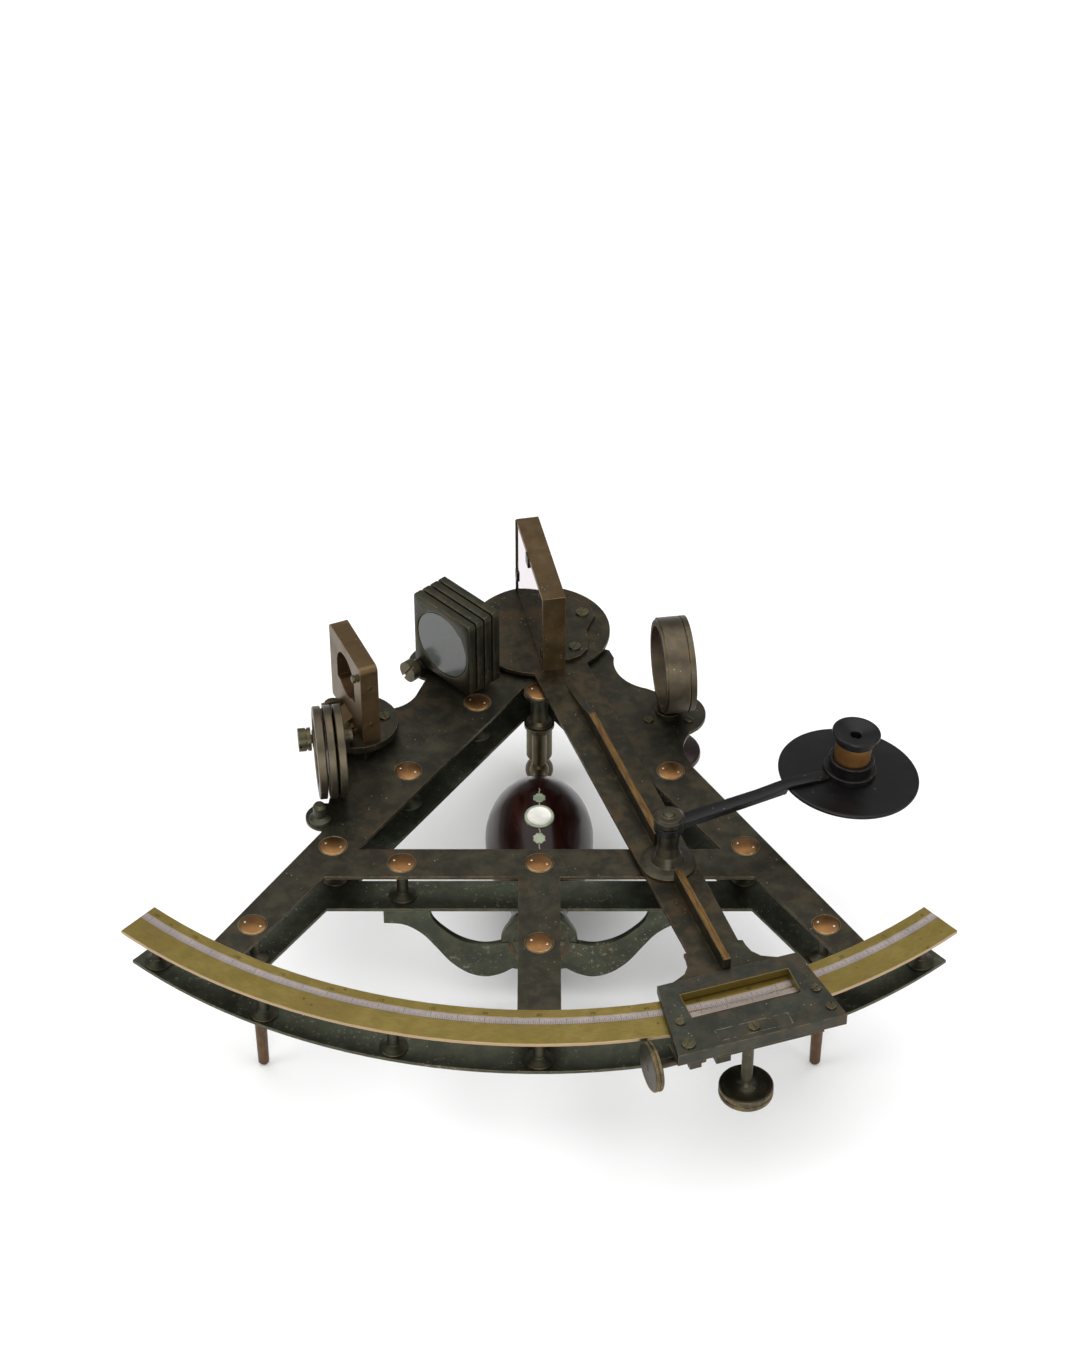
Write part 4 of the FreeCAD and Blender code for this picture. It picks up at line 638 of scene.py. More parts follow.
CAD_FINISHES = {
    "plate": ["upper_frame", "index_mirror_base", "horizon_base", "collar_base", "magnifier_post",
              "collar_stem",
              "index_shade_bracket", "horizon_shade_bracket", "clamp_block"],
    "arm": ["index_arm"],
    "vernier": ["vernier_plate"],
    "lower": ["lower_frame", "handle_bracket", "centre_bearing"],
    "limb": ["limb"],
    "silver": ["silver_scale"],
    "vernier silver": ["vernier_scale"],
    "pillar": ["frame_pillars", "index_arbor", "arbor_nut", "shade_stop_post"],
    "turned": ["rear_foot", "handle_stud"],
    "foot": ["front_feet"],
    "copper": ["pillar_screws"],
    "screw": ["frame_screws", "index_screws", "horizon_shade_pin", "index_shade_pin"],
    "mirror frame": ["index_mirror_frame", "horizon_mirror_frame"],
    "ring brass": ["collar_ring_front", "collar_ring_back"]
    + ["horizon_shade_ring_%d" % k for k in (1, 2, 3)],
    "shade frame": ["index_shade_frame_%d" % k for k in (1, 2, 3, 4)],
    "mirror": ["index_mirror_glass"],
    "horizon mirror": ["horizon_glass"],
    "shade glass": ["index_shade_glass_%d" % k for k in (1, 2, 3, 4)]
    + ["horizon_shade_glass_%d" % k for k in (1, 2)],
    "pale glass": ["horizon_shade_glass_3"],
    "knob": ["clamp_screw", "tangent_screw"],
    "red knob": ["collar_knob"],
    "lacquer": ["magnifier_arm", "reflector_disc", "magnifier_barrel", "magnifier_eyepiece"],
    "tan": ["magnifier_tube"],
    "lens": ["magnifier_lens"],
    "wood": ["handle"],
    "inlay silver": ["handle_inlays"],
}


def finish_named(name):
    return bpy.data.materials[name]


# ---------------------------------------------------------------- shaping

def curve_through(points, steps):
    """More points on a smooth curve through the given ones."""
    made = []
    count = len(points)
    for index in range(count - 1):
        before = Vector(points[max(index - 1, 0)])
        start, end = Vector(points[index]), Vector(points[index + 1])
        after = Vector(points[min(index + 2, count - 1)])
        for step in range(steps):
            t = step / steps
            made.append(tuple(0.5 * (2 * start + (end - before) * t
                                     + (2 * before - 5 * start + 4 * end - after) * t * t
                                     + (3 * start - before - 3 * end + after) * t ** 3)))
    return made + [tuple(points[-1])]


def turned_shape(profile, steps=None):
    """A closed turned solid about the Z axis in millimetres, from (radius, height) points; ends go to the axis."""
    steps = steps or bpy.context.scene.octant_sizes.turn_steps
    bm = bmesh.new()
    line = [bm.verts.new((max(radius, 0.0), 0.0, height)) for radius, height in profile]
    edges = [bm.edges.new(pair) for pair in zip(line, line[1:])]
    bmesh.ops.spin(bm, geom=line + edges, cent=(0, 0, 0), axis=(0, 0, 1), angle=2 * math.pi, steps=steps,
                   use_merge=True)
    bmesh.ops.remove_doubles(bm, verts=bm.verts, dist=0.0005)
    bmesh.ops.recalc_face_normals(bm, faces=bm.faces)
    return bm


def smooth_by_angle(bm):
    for face in bm.faces:
        face.smooth = True
    for edge in bm.edges:
        sharp = len(edge.link_faces) != 2 or edge.calc_face_angle(0.0) > SMOOTH_ANGLE
        edge.smooth = not sharp


def finished(bm, name, finish, body, place, replaces=(), slots=()):
    """Makes a bmesh in millimetres a piece of the octant, in its place, with its finish."""
    put(bm, Matrix.Translation(PIVOT) @ Matrix.Diagonal((MM, MM, MM, 1.0)) @ place)
    smooth_by_angle(bm)
    mesh = bpy.data.meshes.new(name)
    bm.to_mesh(mesh)
    bm.free()
    for material in (finish,) + tuple(slots):
        mesh.materials.append(finish_named(material))
    piece = bpy.data.objects.new(name, mesh)
    bpy.context.scene.collection.objects.link(piece)
    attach(piece, body)
    if replaces:
        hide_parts(*replaces)
    return piece


def merged(parts):
    """One bmesh from several."""
    whole = bmesh.new()
    for part in parts:
        mesh = bpy.data.meshes.new("part")
        part.to_mesh(mesh)
        part.free()
        whole.from_mesh(mesh)
        bpy.data.meshes.remove(mesh)
    return whole


def at(place, turn=0.0, axis="Z"):
    """Moves a shape to a place, given in two or three numbers, after a turn about an axis."""
    return Matrix.Translation(tuple(place) + (0.0,) * (3 - len(place))) @ Matrix.Rotation(turn, 4, axis)


def put(bm, matrix):
    bmesh.ops.transform(bm, matrix=matrix, verts=bm.verts)
    return bm


def along_y(x=0.0, y=0.0, z=0.0):
    """Stands a turned shape's axis along +Y, at a place."""
    return at((x, y, z), math.radians(-90.0), "X")


def sleeve(inner, outer, low, high, steps, corner=0.2):
    """A turned tube whose outer rims are cut back by corner."""
    return turned_shape([(inner, low), (outer - corner, low), (outer, low + corner), (outer, high - corner),
                         (outer - corner, high), (inner, high), (inner, low)], steps)


def on_arm():
    return Matrix.Rotation(ARM_ANGLE, 4, "Z")


def at_lens():
    return at(MAGNIFIER_POST, SWING_ANGLE) @ at((SWING_LENGTH, 0.0, SWING_HEIGHT), LENS_TILT, "Y")


def milled(bm, radius, low, high, teeth, depth):
    """Draws every second ring of points in, so that the rim has teeth."""
    for vert in bm.verts:
        flat = math.hypot(vert.co.x, vert.co.y)
        if abs(flat - radius) < 0.3 and low <= vert.co.z <= high:
            turn = math.atan2(vert.co.y, vert.co.x) / (2 * math.pi) * teeth * 2
            if round(turn) % 2:
                vert.co.x *= 1 - depth / flat
                vert.co.y *= 1 - depth / flat
    return bm


# ---------------------------------------------------------------- pieces

class OCTANT_OT_finish_cad(bpy.types.Operator):
    """Gives every solid of the part its finish"""
    bl_idname = "octant.finish_cad"
    bl_label = "Finish the solids"

    def execute(self, context):
        build_groups()
        finishes = make_finishes()
        for finish, nodes in CAD_FINISHES.items():
            for name in nodes:
                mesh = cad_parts[name].data
                mesh.materials.clear()
                mesh.materials.append(finishes[finish])
        return {"FINISHED"}


class OCTANT_OT_handle(bpy.types.Operator):
    """Turns the handle's swelling grip"""
    bl_idname = "octant.handle"
    bl_label = "Handle"

    def execute(self, context):
        smooth = grip_outline()
        last = smooth[-1][0]
        profile = [(0.0, smooth[0][1]), (smooth[0][0] - 0.6, smooth[0][1])] + smooth
        profile += [(last * 0.98, HANDLE_END + 1.2), (last * 0.94, HANDLE_END + 0.4),
                    (last * 0.88, HANDLE_END),
                    (0.0, HANDLE_END)]
        grip = turned_shape(profile)
        finished(grip, "handle_grip", "dark hardwood", "frame", along_y(z=HANDLE_AXIS_Z),
                 ["handle"])
        return {"FINISHED"}


def grip_outline():
    """The grip's smooth outline, from its flat end at the bracket outwards."""
    return curve_through([(radius, y) for y, radius in HANDLE_PROFILE], 6)


def on_grip(y):
    """Lays a turned shape on the handle's top, leaning as the wood does there."""
    outline = grip_outline()
    for (r0, y0), (r1, y1) in zip(outline, outline[1:]):
        if y1 <= y <= y0:
            slope = (r1 - r0) / (y1 - y0)
            return at((0.0, y, HANDLE_AXIS_Z + r0 + slope * (y - y0)), math.atan(slope), "X")
    raise RuntimeError("The place lies past the handle's ends")


class OCTANT_OT_inlays(bpy.types.Operator):
    """Lets a dished disc and two small lobed discs into the handle's top"""
    bl_idname = "octant.inlays"
    bl_label = "Handle inlays"

    def execute(self, context):
        green = 1
        disc = turned_shape([(0.0, -2.0), (5.1, -2.0), (5.3, -1.8), (5.3, 0.2), (5.1, 0.36), (4.7, 0.4),
                             (4.3, 0.32), (3.9, 0.2), (3.0, 0.14), (1.6, 0.11), (0.0, 0.1)], 64)
        for face in disc.faces:
            if face.calc_center_median().xy.length > 4.4:
                face.material_index = green
        parts = [put(disc, on_grip(BIG_INLAY_Y))]
        for y in SMALL_INLAYS_Y:
            lobed = turned_shape([(0.0, -1.6), (2.2, -1.6), (2.4, -1.4), (2.4, 0.12), (2.2, 0.27), (1.5, 0.3),
                                  (1.1, 0.16), (0.5, 0.24), (0.0, 0.28)], 48)
            for vert in lobed.verts:
                flat = math.hypot(vert.co.x, vert.co.y)
                if flat > 1.9:
                    wave = 1.0 - 0.07 * (1 + math.cos(INLAY_LOBES * math.atan2(vert.co.y, vert.co.x)))
                    vert.co.x *= wave
                    vert.co.y *= wave
            for face in lobed.faces:
                face.material_index = green
            parts.append(put(lobed, on_grip(y)))
        finished(merged(parts), "handle_inlay_discs", "inlay silver", "frame",
                 Matrix.Identity(4),
                 ["handle_inlays"], ["green inlay"])
        return {"FINISHED"}


class OCTANT_OT_knobs(bpy.types.Operator):
    """Turns the milled heads of the clamp screw and the tangent screw, and the collar's knob"""
    bl_idname = "octant.knobs"
    bl_label = "Milled knobs"

    def execute(self, context):
        sizes = context.scene.octant_sizes
        teeth, depth = sizes.knob_teeth, sizes.tooth_depth / MM
        top = CLAMP_KNOB_TOP
        clamp = turned_shape([
            (0.0, top - 4.4), (0.8, top - 4.4), (1.0, top - 4.2), (6.6, top - 4.3),
            (7.6, top - 4.4), (8.6, top - 4.3), (CLAMP_KNOB_RADIUS, top - 3.9),
            (CLAMP_KNOB_RADIUS, top - 2.65),
            (8.5, top - 2.45), (8.5, top - 1.95), (CLAMP_KNOB_RADIUS, top - 1.75),
            (CLAMP_KNOB_RADIUS, top - 0.5),
            (8.6, top - 0.1), (7.8, top), (7.2, top - 0.3), (4.6, top - 0.35),
            (3.6, top + 0.1), (2.6, top + 0.8), (1.9, top + 2.2), (1.9, -1.7), (0.0, -1.7)],
            teeth * 2)
        milled(clamp, CLAMP_KNOB_RADIUS, top - 4.0, top - 0.4, teeth, depth)
        finished(clamp, "clamp_thumb_knob", "knob bronze", "clamp_thumbscrew",
                 on_arm() @ at(CLAMP_SCREW_PLACE), ["clamp_screw"])
        length, rim = TANGENT_SCREW_LENGTH, TANGENT_KNOB_RADIUS
        tangent = turned_shape([
            (0.0, -1.5), (0.5, -1.5), (0.6, -1.3), (1.1, -1.3), (1.2, -1.45), (6.2, -1.35), (7.0, -1.5),
            (7.9, -1.4), (rim, -1.05), (rim, -0.3), (7.8, -0.15), (7.8, 0.15), (rim, 0.3), (rim, 1.05),
            (7.9, 1.4), (7.0, 1.5), (6.2, 1.3), (2.7, 1.3), (2.2, 2.2), (1.5, 3.5), (1.5, 16.2), (2.8, 16.3),
            (2.8, 17.6), (1.5, 17.7), (1.5, length - 0.6), (0.9, length), (0.0, length)], teeth * 2)
        milled(tangent, rim, -1.2, 1.2, teeth, depth)
        finished(tangent, "tangent_screw_knob", "knob bronze", "fine_screw",
                 on_arm() @ at(TANGENT_SCREW_PLACE, math.radians(90.0), "Y"),
                 ["tangent_screw"])
        top = LOWER_BOTTOM - 0.3
        collar = turned_shape([
            (2.84, top), (6.4, top), (7.2, top - 0.3), (11.2, top - 0.8), (12.0, top - 1.3),
            (COLLAR_KNOB_RADIUS, top - 1.8),
            (COLLAR_KNOB_RADIUS, top - 3.0), (11.8, top - 3.5), (11.2, top - 3.9), (9.8, top - 4.0),
            (9.2, top - 4.3),
            (5.0, top - 4.4), (2.84, top - 4.4), (2.84, top)], teeth * 2)
        milled(collar, COLLAR_KNOB_RADIUS, top - 3.1, top - 1.7, teeth, depth)
        finished(collar, "collar_height_knob", "red-brown knob", "collar_nut",
                 at(COLLAR_KNOB_PLACE), ["collar_knob"])
        return {"FINISHED"}


class OCTANT_OT_magnifier(bpy.types.Operator):
    """Turns the reading magnifier's disc, barrel, sliding tube, eyepiece and lens"""
    bl_idname = "octant.magnifier"
    bl_label = "Magnifier"

    def execute(self, context):
        low = 14.5
        pieces = [
            ("magnifier_disc", "black lacquer", "magnifier", "black_lacquer", "reflector_disc", 160,
             [(7.2, 0.05), (24.1, 0.05), (24.4, 0.2), (24.5, 0.5), (24.5, 0.9), (24.35, 1.15), (24.0, 1.3),
              (23.2, 1.3),
              (22.9, 1.22), (10.2, 1.22), (9.6, 1.32), (7.2, 1.32), (7.2, 0.05)]),
            ("magnifier_barrel_tube", "black lacquer", "magnifier", "black_lacquer", "magnifier_barrel", 120,
             [(6.35, -0.8), (7.0, -0.8), (7.2, -0.6), (7.2, 5.4), (7.3, 6.4), (7.7, 6.9), (7.9, 7.2),
              (7.9, 7.6),
              (7.7, 7.9), (7.3, 8.0), (6.6, 8.0), (6.35, 7.8), (6.35, -0.8)]),
            ("magnifier_slide_tube", "tan lacquered brass", "eye_tube", "tube_brass", "magnifier_tube", 120,
             [(5.2, 2.0), (6.2, 2.0), (6.3, 2.2), (6.3, low), (5.2, low), (5.2, 2.0)]),
            ("magnifier_eye_cap", "black lacquer", "eye_tube", "black_lacquer", "magnifier_eyepiece", 120,
             [(2.0, low), (6.3, low), (6.9, low + 0.5), (6.9, low + 2.8), (7.4, low + 3.2), (8.1, low + 3.4),
              (8.4, low + 3.7), (8.4, low + 4.1), (8.2, low + 4.45), (7.7, low + 4.6), (7.2, low + 4.55),
              (6.7, low + 4.3), (5.2, low + 3.75), (3.4, low + 3.25), (2.2, low + 3.0), (2.0, low + 2.9),
              (2.0, low)]),
            ("magnifier_eye_lens", "lens glass", "eye_tube", "lens_glass", "magnifier_lens", 64,
             [(0.0, 5.0), (3.0, 5.0), (5.0, 5.15), (5.2, 5.3), (5.2, 7.0), (4.2, 7.15), (2.6, 7.32),
              (1.2, 7.39),
              (0.0, 7.4)])]
        for name, finish, body, slot, node, steps, profile in pieces:
            finished(turned_shape(profile, steps), name, finish, body, at_lens(), [node])
        return {"FINISHED"}


def box_shape(size, centre, corner=0.2):
    """A block with softened edges."""
    bm = bmesh.new()
    bmesh.ops.create_cube(bm, size=1.0)
    bmesh.ops.scale(bm, verts=bm.verts, vec=size)
    bmesh.ops.translate(bm, verts=bm.verts, vec=centre)
    bmesh.ops.bevel(bm, geom=bm.edges[:], offset=corner, segments=2, profile=0.5, affect="EDGES", material=-1)
    return bm


def screw_head(radius, height, place, slot_turn=0.3):
    """A cheese head with softened rim and a sunk slot, its foot at place and its axis along local Z."""
    bm = turned_shape([(0.0, height), (radius * 0.86, height), (radius, height * 0.8), (radius, 0.0),
                       (0.0, 0.0)], 48)
    slit = box_shape((radius * 1.7, radius * 0.22, 0.12), (0.0, 0.0, height + 0.01), 0.02)
    for face in slit.faces:
        face.material_index = 1
    bmesh.ops.rotate(slit, verts=slit.verts, cent=(0, 0, 0), matrix=Matrix.Rotation(slot_turn, 3, "Z"))
    return put(merged([bm, slit]), place)


def flat_plate(outline, thickness, corner=0.0):
    """A plate in the XY plane from its outline, thickened along Z, with softened edges."""
    bm = bmesh.new()
    face = bm.faces.new([bm.verts.new((x, y, 0.0)) for x, y in outline])
    bmesh.ops.extrude_face_region(bm, geom=[face])
    top = bm.verts[:][len(outline):]
    bmesh.ops.translate(bm, verts=top, vec=(0.0, 0.0, thickness))
    bmesh.ops.recalc_face_normals(bm, faces=bm.faces)
    if corner:
        rims = [edge for edge in bm.edges if abs(edge.verts[0].co.z - edge.verts[1].co.z) < thickness / 2]
        bmesh.ops.bevel(bm, geom=rims, offset=corner, segments=2, profile=0.5, affect="EDGES", material=-1)
    return bm


def upright(y):
    """Stands a plate drawn in X and Z with its thickness along +Y, from a place."""
    return at((0.0, y), math.radians(90.0), "X") @ Matrix.Diagonal((1.0, 1.0, -1.0, 1.0))


def copied(node):
    """A merged copy of a solid's mesh, in millimetres from the arm's centre line."""
    bm = bmesh.new()
    bm.from_mesh(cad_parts[node].data)
    bmesh.ops.remove_doubles(bm, verts=bm.verts, dist=0.00001)
    return put(bm, Matrix.Diagonal((1 / MM, 1 / MM, 1 / MM, 1.0)) @ Matrix.Translation(-PIVOT))


class OCTANT_OT_heads(bpy.types.Operator):
    """Dresses the pillar screws with a pale ring at each foot; the index arm covers the one beside it"""
    bl_idname = "octant.heads"
    bl_label = "Pillar screw heads"

    def execute(self, context):
        heads = copied("pillar_screws")
        hidden = [vert for vert in heads.verts if (vert.co.xy - Vector(HIDDEN_HEAD)).length < HEAD_RADIUS
                  + 0.5]
        bmesh.ops.delete(heads, geom=hidden, context="VERTS")
        for vert in heads.verts:
            if vert.co.z > UPPER_TOP:
                vert.co.z = UPPER_TOP + (vert.co.z - UPPER_TOP) * HEAD_FLATNESS
        centres = []
        for vert in heads.verts:
            if all((vert.co.xy - centre).length > 2.5 * HEAD_RADIUS for centre in centres):
                near = [other.co.xy for other in heads.verts if (other.co.xy - vert.co.xy).length < 2.2
                        * HEAD_RADIUS]
                low = Vector((min(place.x for place in near), min(place.y for place in near)))
                high = Vector((max(place.x for place in near), max(place.y for place in near)))
                centres.append((low + high) / 2)
        finished(heads, "pillar_screw_heads", "copper heads", "frame", Matrix.Identity(4),
                 ["pillar_screws"])
        rings = []
        for centre in centres:
            ring = turned_shape([(HEAD_RADIUS - 0.1, 0.02), (HEAD_RADIUS + 0.38, 0.02),
                                 (HEAD_RADIUS + 0.3, 0.08),
                                 (HEAD_RADIUS, 0.14), (HEAD_RADIUS - 0.1, 0.12), (HEAD_RADIUS - 0.1, 0.02)],
                                64)
            rings.append(put(ring, at((centre.x, centre.y, UPPER_TOP))))
        plug = turned_shape([(0.0, 0.0), (1.5, 0.0), (1.5, -1.0), (0.0, -1.0)], 32)
        put(plug, at((HIDDEN_HEAD[0], HIDDEN_HEAD[1], UPPER_TOP + 0.02)))
        finished(merged(rings + [plug]), "pillar_screw_rings", "ring bloom", "frame",
                 Matrix.Identity(4))
        return {"FINISHED"}


class OCTANT_OT_bracket(bpy.types.Operator):
    """Cuts the double swag that carries the handle, and turns its stepped boss"""
    bl_idname = "octant.bracket"
    bl_label = "Handle bracket"

    def execute(self, context):
        lower = curve_through(BRACKET_LOWER, 6)
        upper = curve_through(BRACKET_UPPER, 6)
        right = [(54.0, LOWER_BOTTOM)] + lower + [(0.0, -52.4)]
        left = [(-x, z) for x, z in reversed(right[:-1])]
        top = [(-x, z) for x, z in upper] + [(0.0, -36.0)] + upper[::-1]
        plate = put(flat_plate(right + left + top, BRACKET_THICKNESS, 0.25), upright(BRACKET_Y))
        boss = turned_shape([(0.0, 0.0), (5.0, 0.0), (5.3, 0.3), (8.8, 0.3), (9.1, 0.0), (10.6, 0.0),
                             (10.9, 0.4),
                             (12.9, 0.4), (13.2, 0.6), (BRACKET_BOSS, 0.9), (BRACKET_BOSS, 2.9), (13.1, 3.2),
                             (0.0, 3.2)])
        put(boss, along_y(0.0, BRACKET_Y - 0.02, HANDLE_AXIS_Z))
        finished(merged([plate, boss]), "handle_swag_bracket", "lower plate bronze", "frame",
                 Matrix.Identity(4), ["handle_bracket"])
        return {"FINISHED"}


class OCTANT_OT_index_shades(bpy.types.Operator):
    """Files the square frames of the index shades and sets a round dark glass in each"""
    bl_idname = "octant.index_shades"
    bl_label = "Index shades"

    def execute(self, context):
        turn = Matrix.Rotation(SHADE_TURN, 4, "Z")
        middle_z = SHADE_BOTTOM + SHADE_HEIGHT / 2
        for number in range(4):
            face_y = SHADE_OUTER_FACE - number * SHADE_PITCH
            plate = bmesh.new()
            inner = bmesh.ops.create_circle(plate, segments=120, radius=SHADE_OPENING)["verts"]
            outer = bmesh.ops.create_circle(plate, segments=120, radius=SHADE_OPENING * 1.3)["verts"]
            for vert in outer:
                direction = vert.co.xy.normalized()
                reach = min(SHADE_WIDTH / 2 / max(abs(direction.x), 1e-6),
                            SHADE_HEIGHT / 2 / max(abs(direction.y), 1e-6))
                vert.co.xy = direction * reach
            bmesh.ops.bridge_loops(plate, edges=plate.edges[:])
            sheet = plate.faces[:]
            raised = bmesh.ops.extrude_face_region(plate, geom=sheet)["geom"]
            bmesh.ops.translate(plate, verts=[item for item in raised if isinstance(item,
                                                                                    bmesh.types.BMVert)],
                                vec=(0.0, 0.0, -SHADE_THICKNESS))
            bmesh.ops.recalc_face_normals(plate, faces=plate.faces)
            rims = [edge for edge in plate.edges if edge.is_manifold and edge.calc_face_angle() > 1.0]
            bmesh.ops.bevel(plate, geom=rims, offset=0.22, segments=2, profile=0.5, affect="EDGES",
                            material=-1)
            put(plate, along_y(SHADE_MIDDLE, face_y, middle_z))
            pin_side = SHADE_MIDDLE + SHADE_WIDTH / 2 - SHADE_PIN_INSET
            lug = put(sleeve(1.65, 2.4, -SHADE_THICKNESS, 0.0, 48),
                      along_y(pin_side, face_y, SHADE_BOTTOM - SHADE_PIN_DROP))
            name = "index_shade_%d" % (number + 1)
            finished(merged([plate, lug]), "index_shade_plate_%d" % (number + 1), "shade frame bronze", name,
                     turn, ["index_shade_frame_%d" % (number + 1)])
            edge = SHADE_OPENING - 0.03
            pane = turned_shape([(0.0, -0.12), (edge - 0.45, -0.12), (edge - 0.25, -0.5), (edge, -0.55),
                                 (edge, 0.55 - SHADE_THICKNESS), (edge - 0.25, 0.5 - SHADE_THICKNESS),
                                 (edge - 0.45, 0.12 - SHADE_THICKNESS), (0.0, 0.12 - SHADE_THICKNESS)], 96)
            finished(pane, "index_shade_pane_%d" % (number + 1), "dark shade glass", name,
                     turn @ along_y(SHADE_MIDDLE, face_y, middle_z), ["index_shade_glass_%d" % (number + 1)])
        return {"FINISHED"}


class OCTANT_OT_horizon_rings(bpy.types.Operator):
    """Turns the rings of the horizon shades, each with its lug on the hinge screw"""
    bl_idname = "octant.horizon_rings"
    bl_label = "Horizon shade rings"

    def execute(self, context):
        half = RING_THICKNESS / 2
        middle_z = RING_PIN_Z + RING_REACH * math.sin(RING_ANGLE)
        pin_side = RING_MIDDLE[0] - RING_REACH * math.cos(RING_ANGLE)
        turn = Matrix.Rotation(SIGHT_TURN, 4, "Z")
        for number in range(3):
            place = RING_MIDDLE[1] + (number - 1) * RING_PITCH
            ring = turned_shape([
                (RING_OPENING, -half + 0.2), (RING_OPENING + 0.5, -half), (RING_RADIUS - 1.0, -half),
                (RING_RADIUS - 0.25, -half + 0.1), (RING_RADIUS, -half + 0.35), (RING_RADIUS, half - 0.35),
                (RING_RADIUS - 0.25, half - 0.1), (RING_RADIUS - 1.0, half), (RING_OPENING + 0.5, half),
                (RING_OPENING, half - 0.2), (RING_OPENING, -half + 0.2)], 128)
            put(ring, along_y(RING_MIDDLE[0], place, middle_z))
            lug = put(sleeve(1.75, 3.2, -half, half, 48), along_y(pin_side, place, RING_PIN_Z))
            bridge = put(box_shape((3.6, RING_THICKNESS - 0.1, 5.6), (-3.9, 0.0, 0.0)),
                         at((pin_side, place, RING_PIN_Z), math.pi - RING_ANGLE, "Y"))
            finished(merged([ring, lug, bridge]), "horizon_ring_%d" % (number + 1), "ring brass",
                     "horizon_shade_%d" % (number + 1), turn,
                     ["horizon_shade_ring_%d" % (number + 1)])
        return {"FINISHED"}


class OCTANT_OT_magnifier_arm(bpy.types.Operator):
    """Files the magnifier's arm, which climbs over the disc and ends in a ring round the barrel"""
    bl_idname = "octant.magnifier_arm"
    bl_label = "Magnifier arm"

    def execute(self, context):
        outline = [(4.2, 17.6), (43.6, 18.9), (44.4, 20.74), (60.2, 19.12), (60.2, 20.5), (46.0, 22.0),
                   (42.0, 21.7), (34.0, 21.0), (4.2, 20.3)]
        bar = put(flat_plate(outline, 5.2, 0.3), upright(-2.6))
        for vert in bar.verts:
            vert.co.y *= 1.0 - 0.16 * min(max((vert.co.x - 4.2) / 56.0, 0.0), 1.0)
        hub = sleeve(2.4, 5.1, 17.5, 20.3, 64)
        ring = turned_shape([(7.25, 1.35), (9.0, 1.35), (9.2, 1.55), (9.2, 3.6), (8.9, 3.9), (7.9, 3.95),
                             (7.25, 3.95), (7.25, 1.35)], 96)
        put(ring, at((SWING_LENGTH, 0.0, SWING_HEIGHT), LENS_TILT, "Y"))
        finished(merged([bar, hub, ring]), "magnifier_swing_arm", "black lacquer", "magnifier",
                 at(MAGNIFIER_POST, SWING_ANGLE), ["magnifier_arm"])
        return {"FINISHED"}


class OCTANT_OT_fittings(bpy.types.Operator):
    """Adds the mirrors' clips, the horizon mirror's pin knob and the small screws in its edge"""
    bl_idname = "octant.fittings"
    bl_label = "Mirror fittings"

    def execute(self, context):
        top = HORIZON_LOW + HORIZON_HEIGHT
        knob = turned_shape([(0.0, 1.9), (1.1, 1.9), (1.45, 1.6), (1.45, 0.7), (1.1, 0.5), (1.1, 0.2),
                             (1.6, 0.15),
                             (1.6, -0.2), (0.0, -0.2)], 48)
        put(knob, at((-HORIZON_THICKNESS / 2, -HORIZON_LENGTH / 2 + 3.6, top - 5.6), math.radians(-90.0),
                     "Y"))
        screws = [screw_head(1.2, 0.18, at((0.0, -HORIZON_LENGTH / 2, top - drop), math.radians(90.0), "X"),
                             turn)
                  for drop, turn in ((8.4, 0.4), (25.0, 1.1))]
        finished(merged([knob] + screws), "horizon_mirror_fittings", "screw brass", "frame",
                 at(HORIZON_CENTRE, HORIZON_TURN), slots=["black lacquer"])
        back = -INDEX_MIRROR_THICKNESS / 2
        middle = ARM_TOP + INDEX_MIRROR_HEIGHT
        clips = [box_shape((0.6, 1.1, INDEX_MIRROR_HEIGHT - 0.4),
                           (back - 0.2, INDEX_MIRROR_LENGTH / 2 - 0.6, ARM_TOP + INDEX_MIRROR_HEIGHT / 2),
                           0.15),
                 box_shape((0.7, 4.4, 4.6), (back - 0.25, 2.5, middle - 2.3)),
                 box_shape((0.7, 3.2, 4.2), (back - 0.25, INDEX_MIRROR_LENGTH / 2 - 1.6, ARM_TOP + 8.0)),
                 box_shape((0.7, 3.2, 4.2), (back - 0.25, -INDEX_MIRROR_LENGTH / 2 + 1.6, ARM_TOP + 8.0))]
        finished(merged(clips), "index_mirror_clips", "shade frame bronze", "index",
                 at(INDEX_MIRROR_CENTRE, INDEX_MIRROR_TURN))
        return {"FINISHED"}


class OCTANT_OT_numerals(bpy.types.Operator):
    """Engraves the numbers of the scale on the limb, one for each five degrees of arc"""
    bl_idname = "octant.numerals"
    bl_label = "Scale numbers"

    def execute(self, context):
        height = context.scene.octant_sizes.numeral_height
        parts = []
        for count, angle in enumerate(range(40, -41, -5)):
            text = bpy.data.curves.new("numeral", "FONT")
            text.body = str(count * 10)
            text.size = height
            text.align_x, text.align_y = "CENTER", "CENTER"
            label = bpy.data.objects.new("numeral", text)
            mesh = bpy.data.meshes.new_from_object(label)
            bpy.data.objects.remove(label)
            number = bmesh.new()
            number.from_mesh(mesh)
            bpy.data.meshes.remove(mesh)
            radius = (SCALE_RADIUS - SCALE_WIDTH - LABEL_ROW) * MM
            turn = Matrix.Rotation(math.radians(angle), 4, "Z")
            number.transform(turn @ Matrix.Translation((0.0, -radius, 0.00003)))
            number.transform(Matrix.Diagonal((1 / MM, 1 / MM, 1 / MM, 1.0)))
            parts.append(number)
        finished(merged(parts), "scale_numbers", "frame bronze", "frame", Matrix.Identity(4))
        return {"FINISHED"}


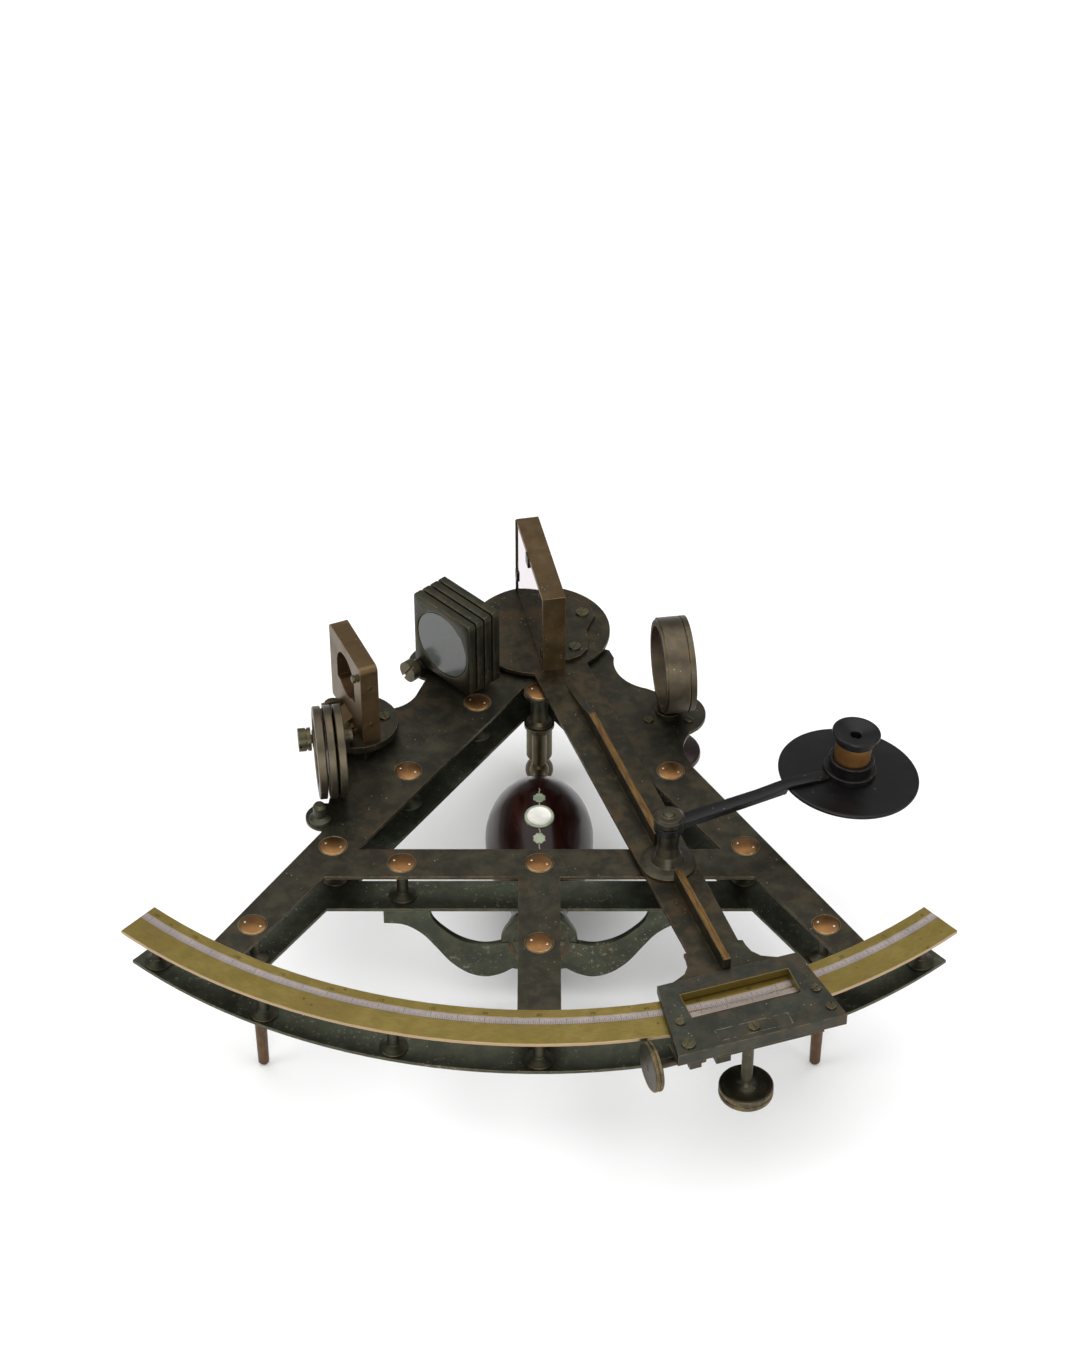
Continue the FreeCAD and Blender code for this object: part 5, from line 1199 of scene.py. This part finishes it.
class OCTANT_OT_stage(bpy.types.Operator):
    """Lays a pale floor, hangs soft studio lights and stands the camera"""
    bl_idname = "octant.stage"
    bl_label = "Stage"

    def execute(self, context):
        bm = bmesh.new()
        bmesh.ops.create_grid(bm, x_segments=1, y_segments=1, size=FLOOR_HALF_SIZE)
        mesh = bpy.data.meshes.new("studio_floor")
        bm.to_mesh(mesh)
        bm.free()
        floor = bpy.data.objects.new("studio_floor", mesh)
        context.scene.collection.objects.link(floor)
        finish, w, shader = new_finish("studio paper")
        fibre = w.noise(w.place(), 40.0, 3.0)
        w.feed(w.mix(fibre, srgb(250, 250, 250), srgb(254, 254, 254)), shader["Base Color"])
        shader["Roughness"].default_value = 0.9
        mesh.materials.append(finish)
        world = bpy.data.worlds.new("studio")
        context.scene.world = world
        world.use_nodes = True
        world.node_tree.nodes["Background"].inputs[0].default_value = (1.0, 1.0, 1.0, 1.0)
        world.node_tree.nodes["Background"].inputs[1].default_value = WORLD_STRENGTH
        lights = [("overhead", (0.0, 0.1, 1.8), (0.0, 0.0, 0.0), 2.4, 34.0),
                  ("front_window", (0.0, -2.0, 0.75), (0.0, 0.0, 0.0), 1.3, 23.0),
                  ("left_window", (-1.5, -0.5, 1.1), (0.0, 0.0, 0.05), 0.9, 8.0),
                  ("right_window", (1.4, -0.9, 0.9), (0.0, 0.0, 0.05), 0.8, 5.0)]
        for name, spot, aim, size, power in lights:
            lamp = bpy.data.lights.new(name, "AREA")
            lamp.shape = "SQUARE"
            lamp.size = size
            lamp.energy = power
            lit = bpy.data.objects.new(name, lamp)
            lit.location = spot
            lit.rotation_euler = (Vector(aim) - Vector(spot)).to_track_quat("-Z", "Y").to_euler()
            context.scene.collection.objects.link(lit)
        camera = bpy.data.cameras.new("camera")
        camera.sensor_fit = "AUTO"
        camera.sensor_width = 36.0
        camera.lens = CAMERA_LENS
        camera.shift_x, camera.shift_y = CAMERA_SHIFT
        camera.clip_start, camera.clip_end = 0.05, 20.0
        eye = bpy.data.objects.new("camera", camera)
        eye.location = CAMERA_PLACE
        eye.rotation_euler = (CAMERA_TILT, 0.0, 0.0)
        context.scene.collection.objects.link(eye)
        context.scene.camera = eye
        context.scene.view_settings.view_transform = "Standard"
        return {"FINISHED"}


class OCTANT_PT_sidebar(bpy.types.Panel):
    """Lists the octant's sizes, colours and pieces"""
    bl_label = "Octant"
    bl_idname = "OCTANT_PT_sidebar"
    bl_space_type = "VIEW_3D"
    bl_region_type = "UI"
    bl_category = "Octant"

    def draw(self, context):
        for group in (context.scene.octant_sizes, context.scene.octant_colours):
            for name in group.bl_rna.properties.keys():
                if name not in ("rna_type", "name"):
                    self.layout.prop(group, name)
        for operator in STEPS:
            self.layout.operator(operator.bl_idname)


STEPS = [OCTANT_OT_finish_cad, OCTANT_OT_heads, OCTANT_OT_bracket, OCTANT_OT_handle, OCTANT_OT_inlays,
         OCTANT_OT_knobs, OCTANT_OT_index_shades, OCTANT_OT_horizon_rings, OCTANT_OT_magnifier_arm,
         OCTANT_OT_magnifier,
         OCTANT_OT_fittings, OCTANT_OT_numerals, OCTANT_OT_stage]
CLASSES = [OctantSizes, OctantColours] + STEPS + [OCTANT_PT_sidebar]


def register():
    for made in CLASSES:
        bpy.utils.register_class(made)
    bpy.types.Scene.octant_sizes = PointerProperty(type=OctantSizes)
    bpy.types.Scene.octant_colours = PointerProperty(type=OctantColours)


def unregister():
    del bpy.types.Scene.octant_colours
    del bpy.types.Scene.octant_sizes
    for made in reversed(CLASSES):
        bpy.utils.unregister_class(made)


def main():
    register()
    for step in STEPS:
        family, name = step.bl_idname.split(".")
        getattr(getattr(bpy.ops, family), name)()


if __name__ == "__main__":
    main()
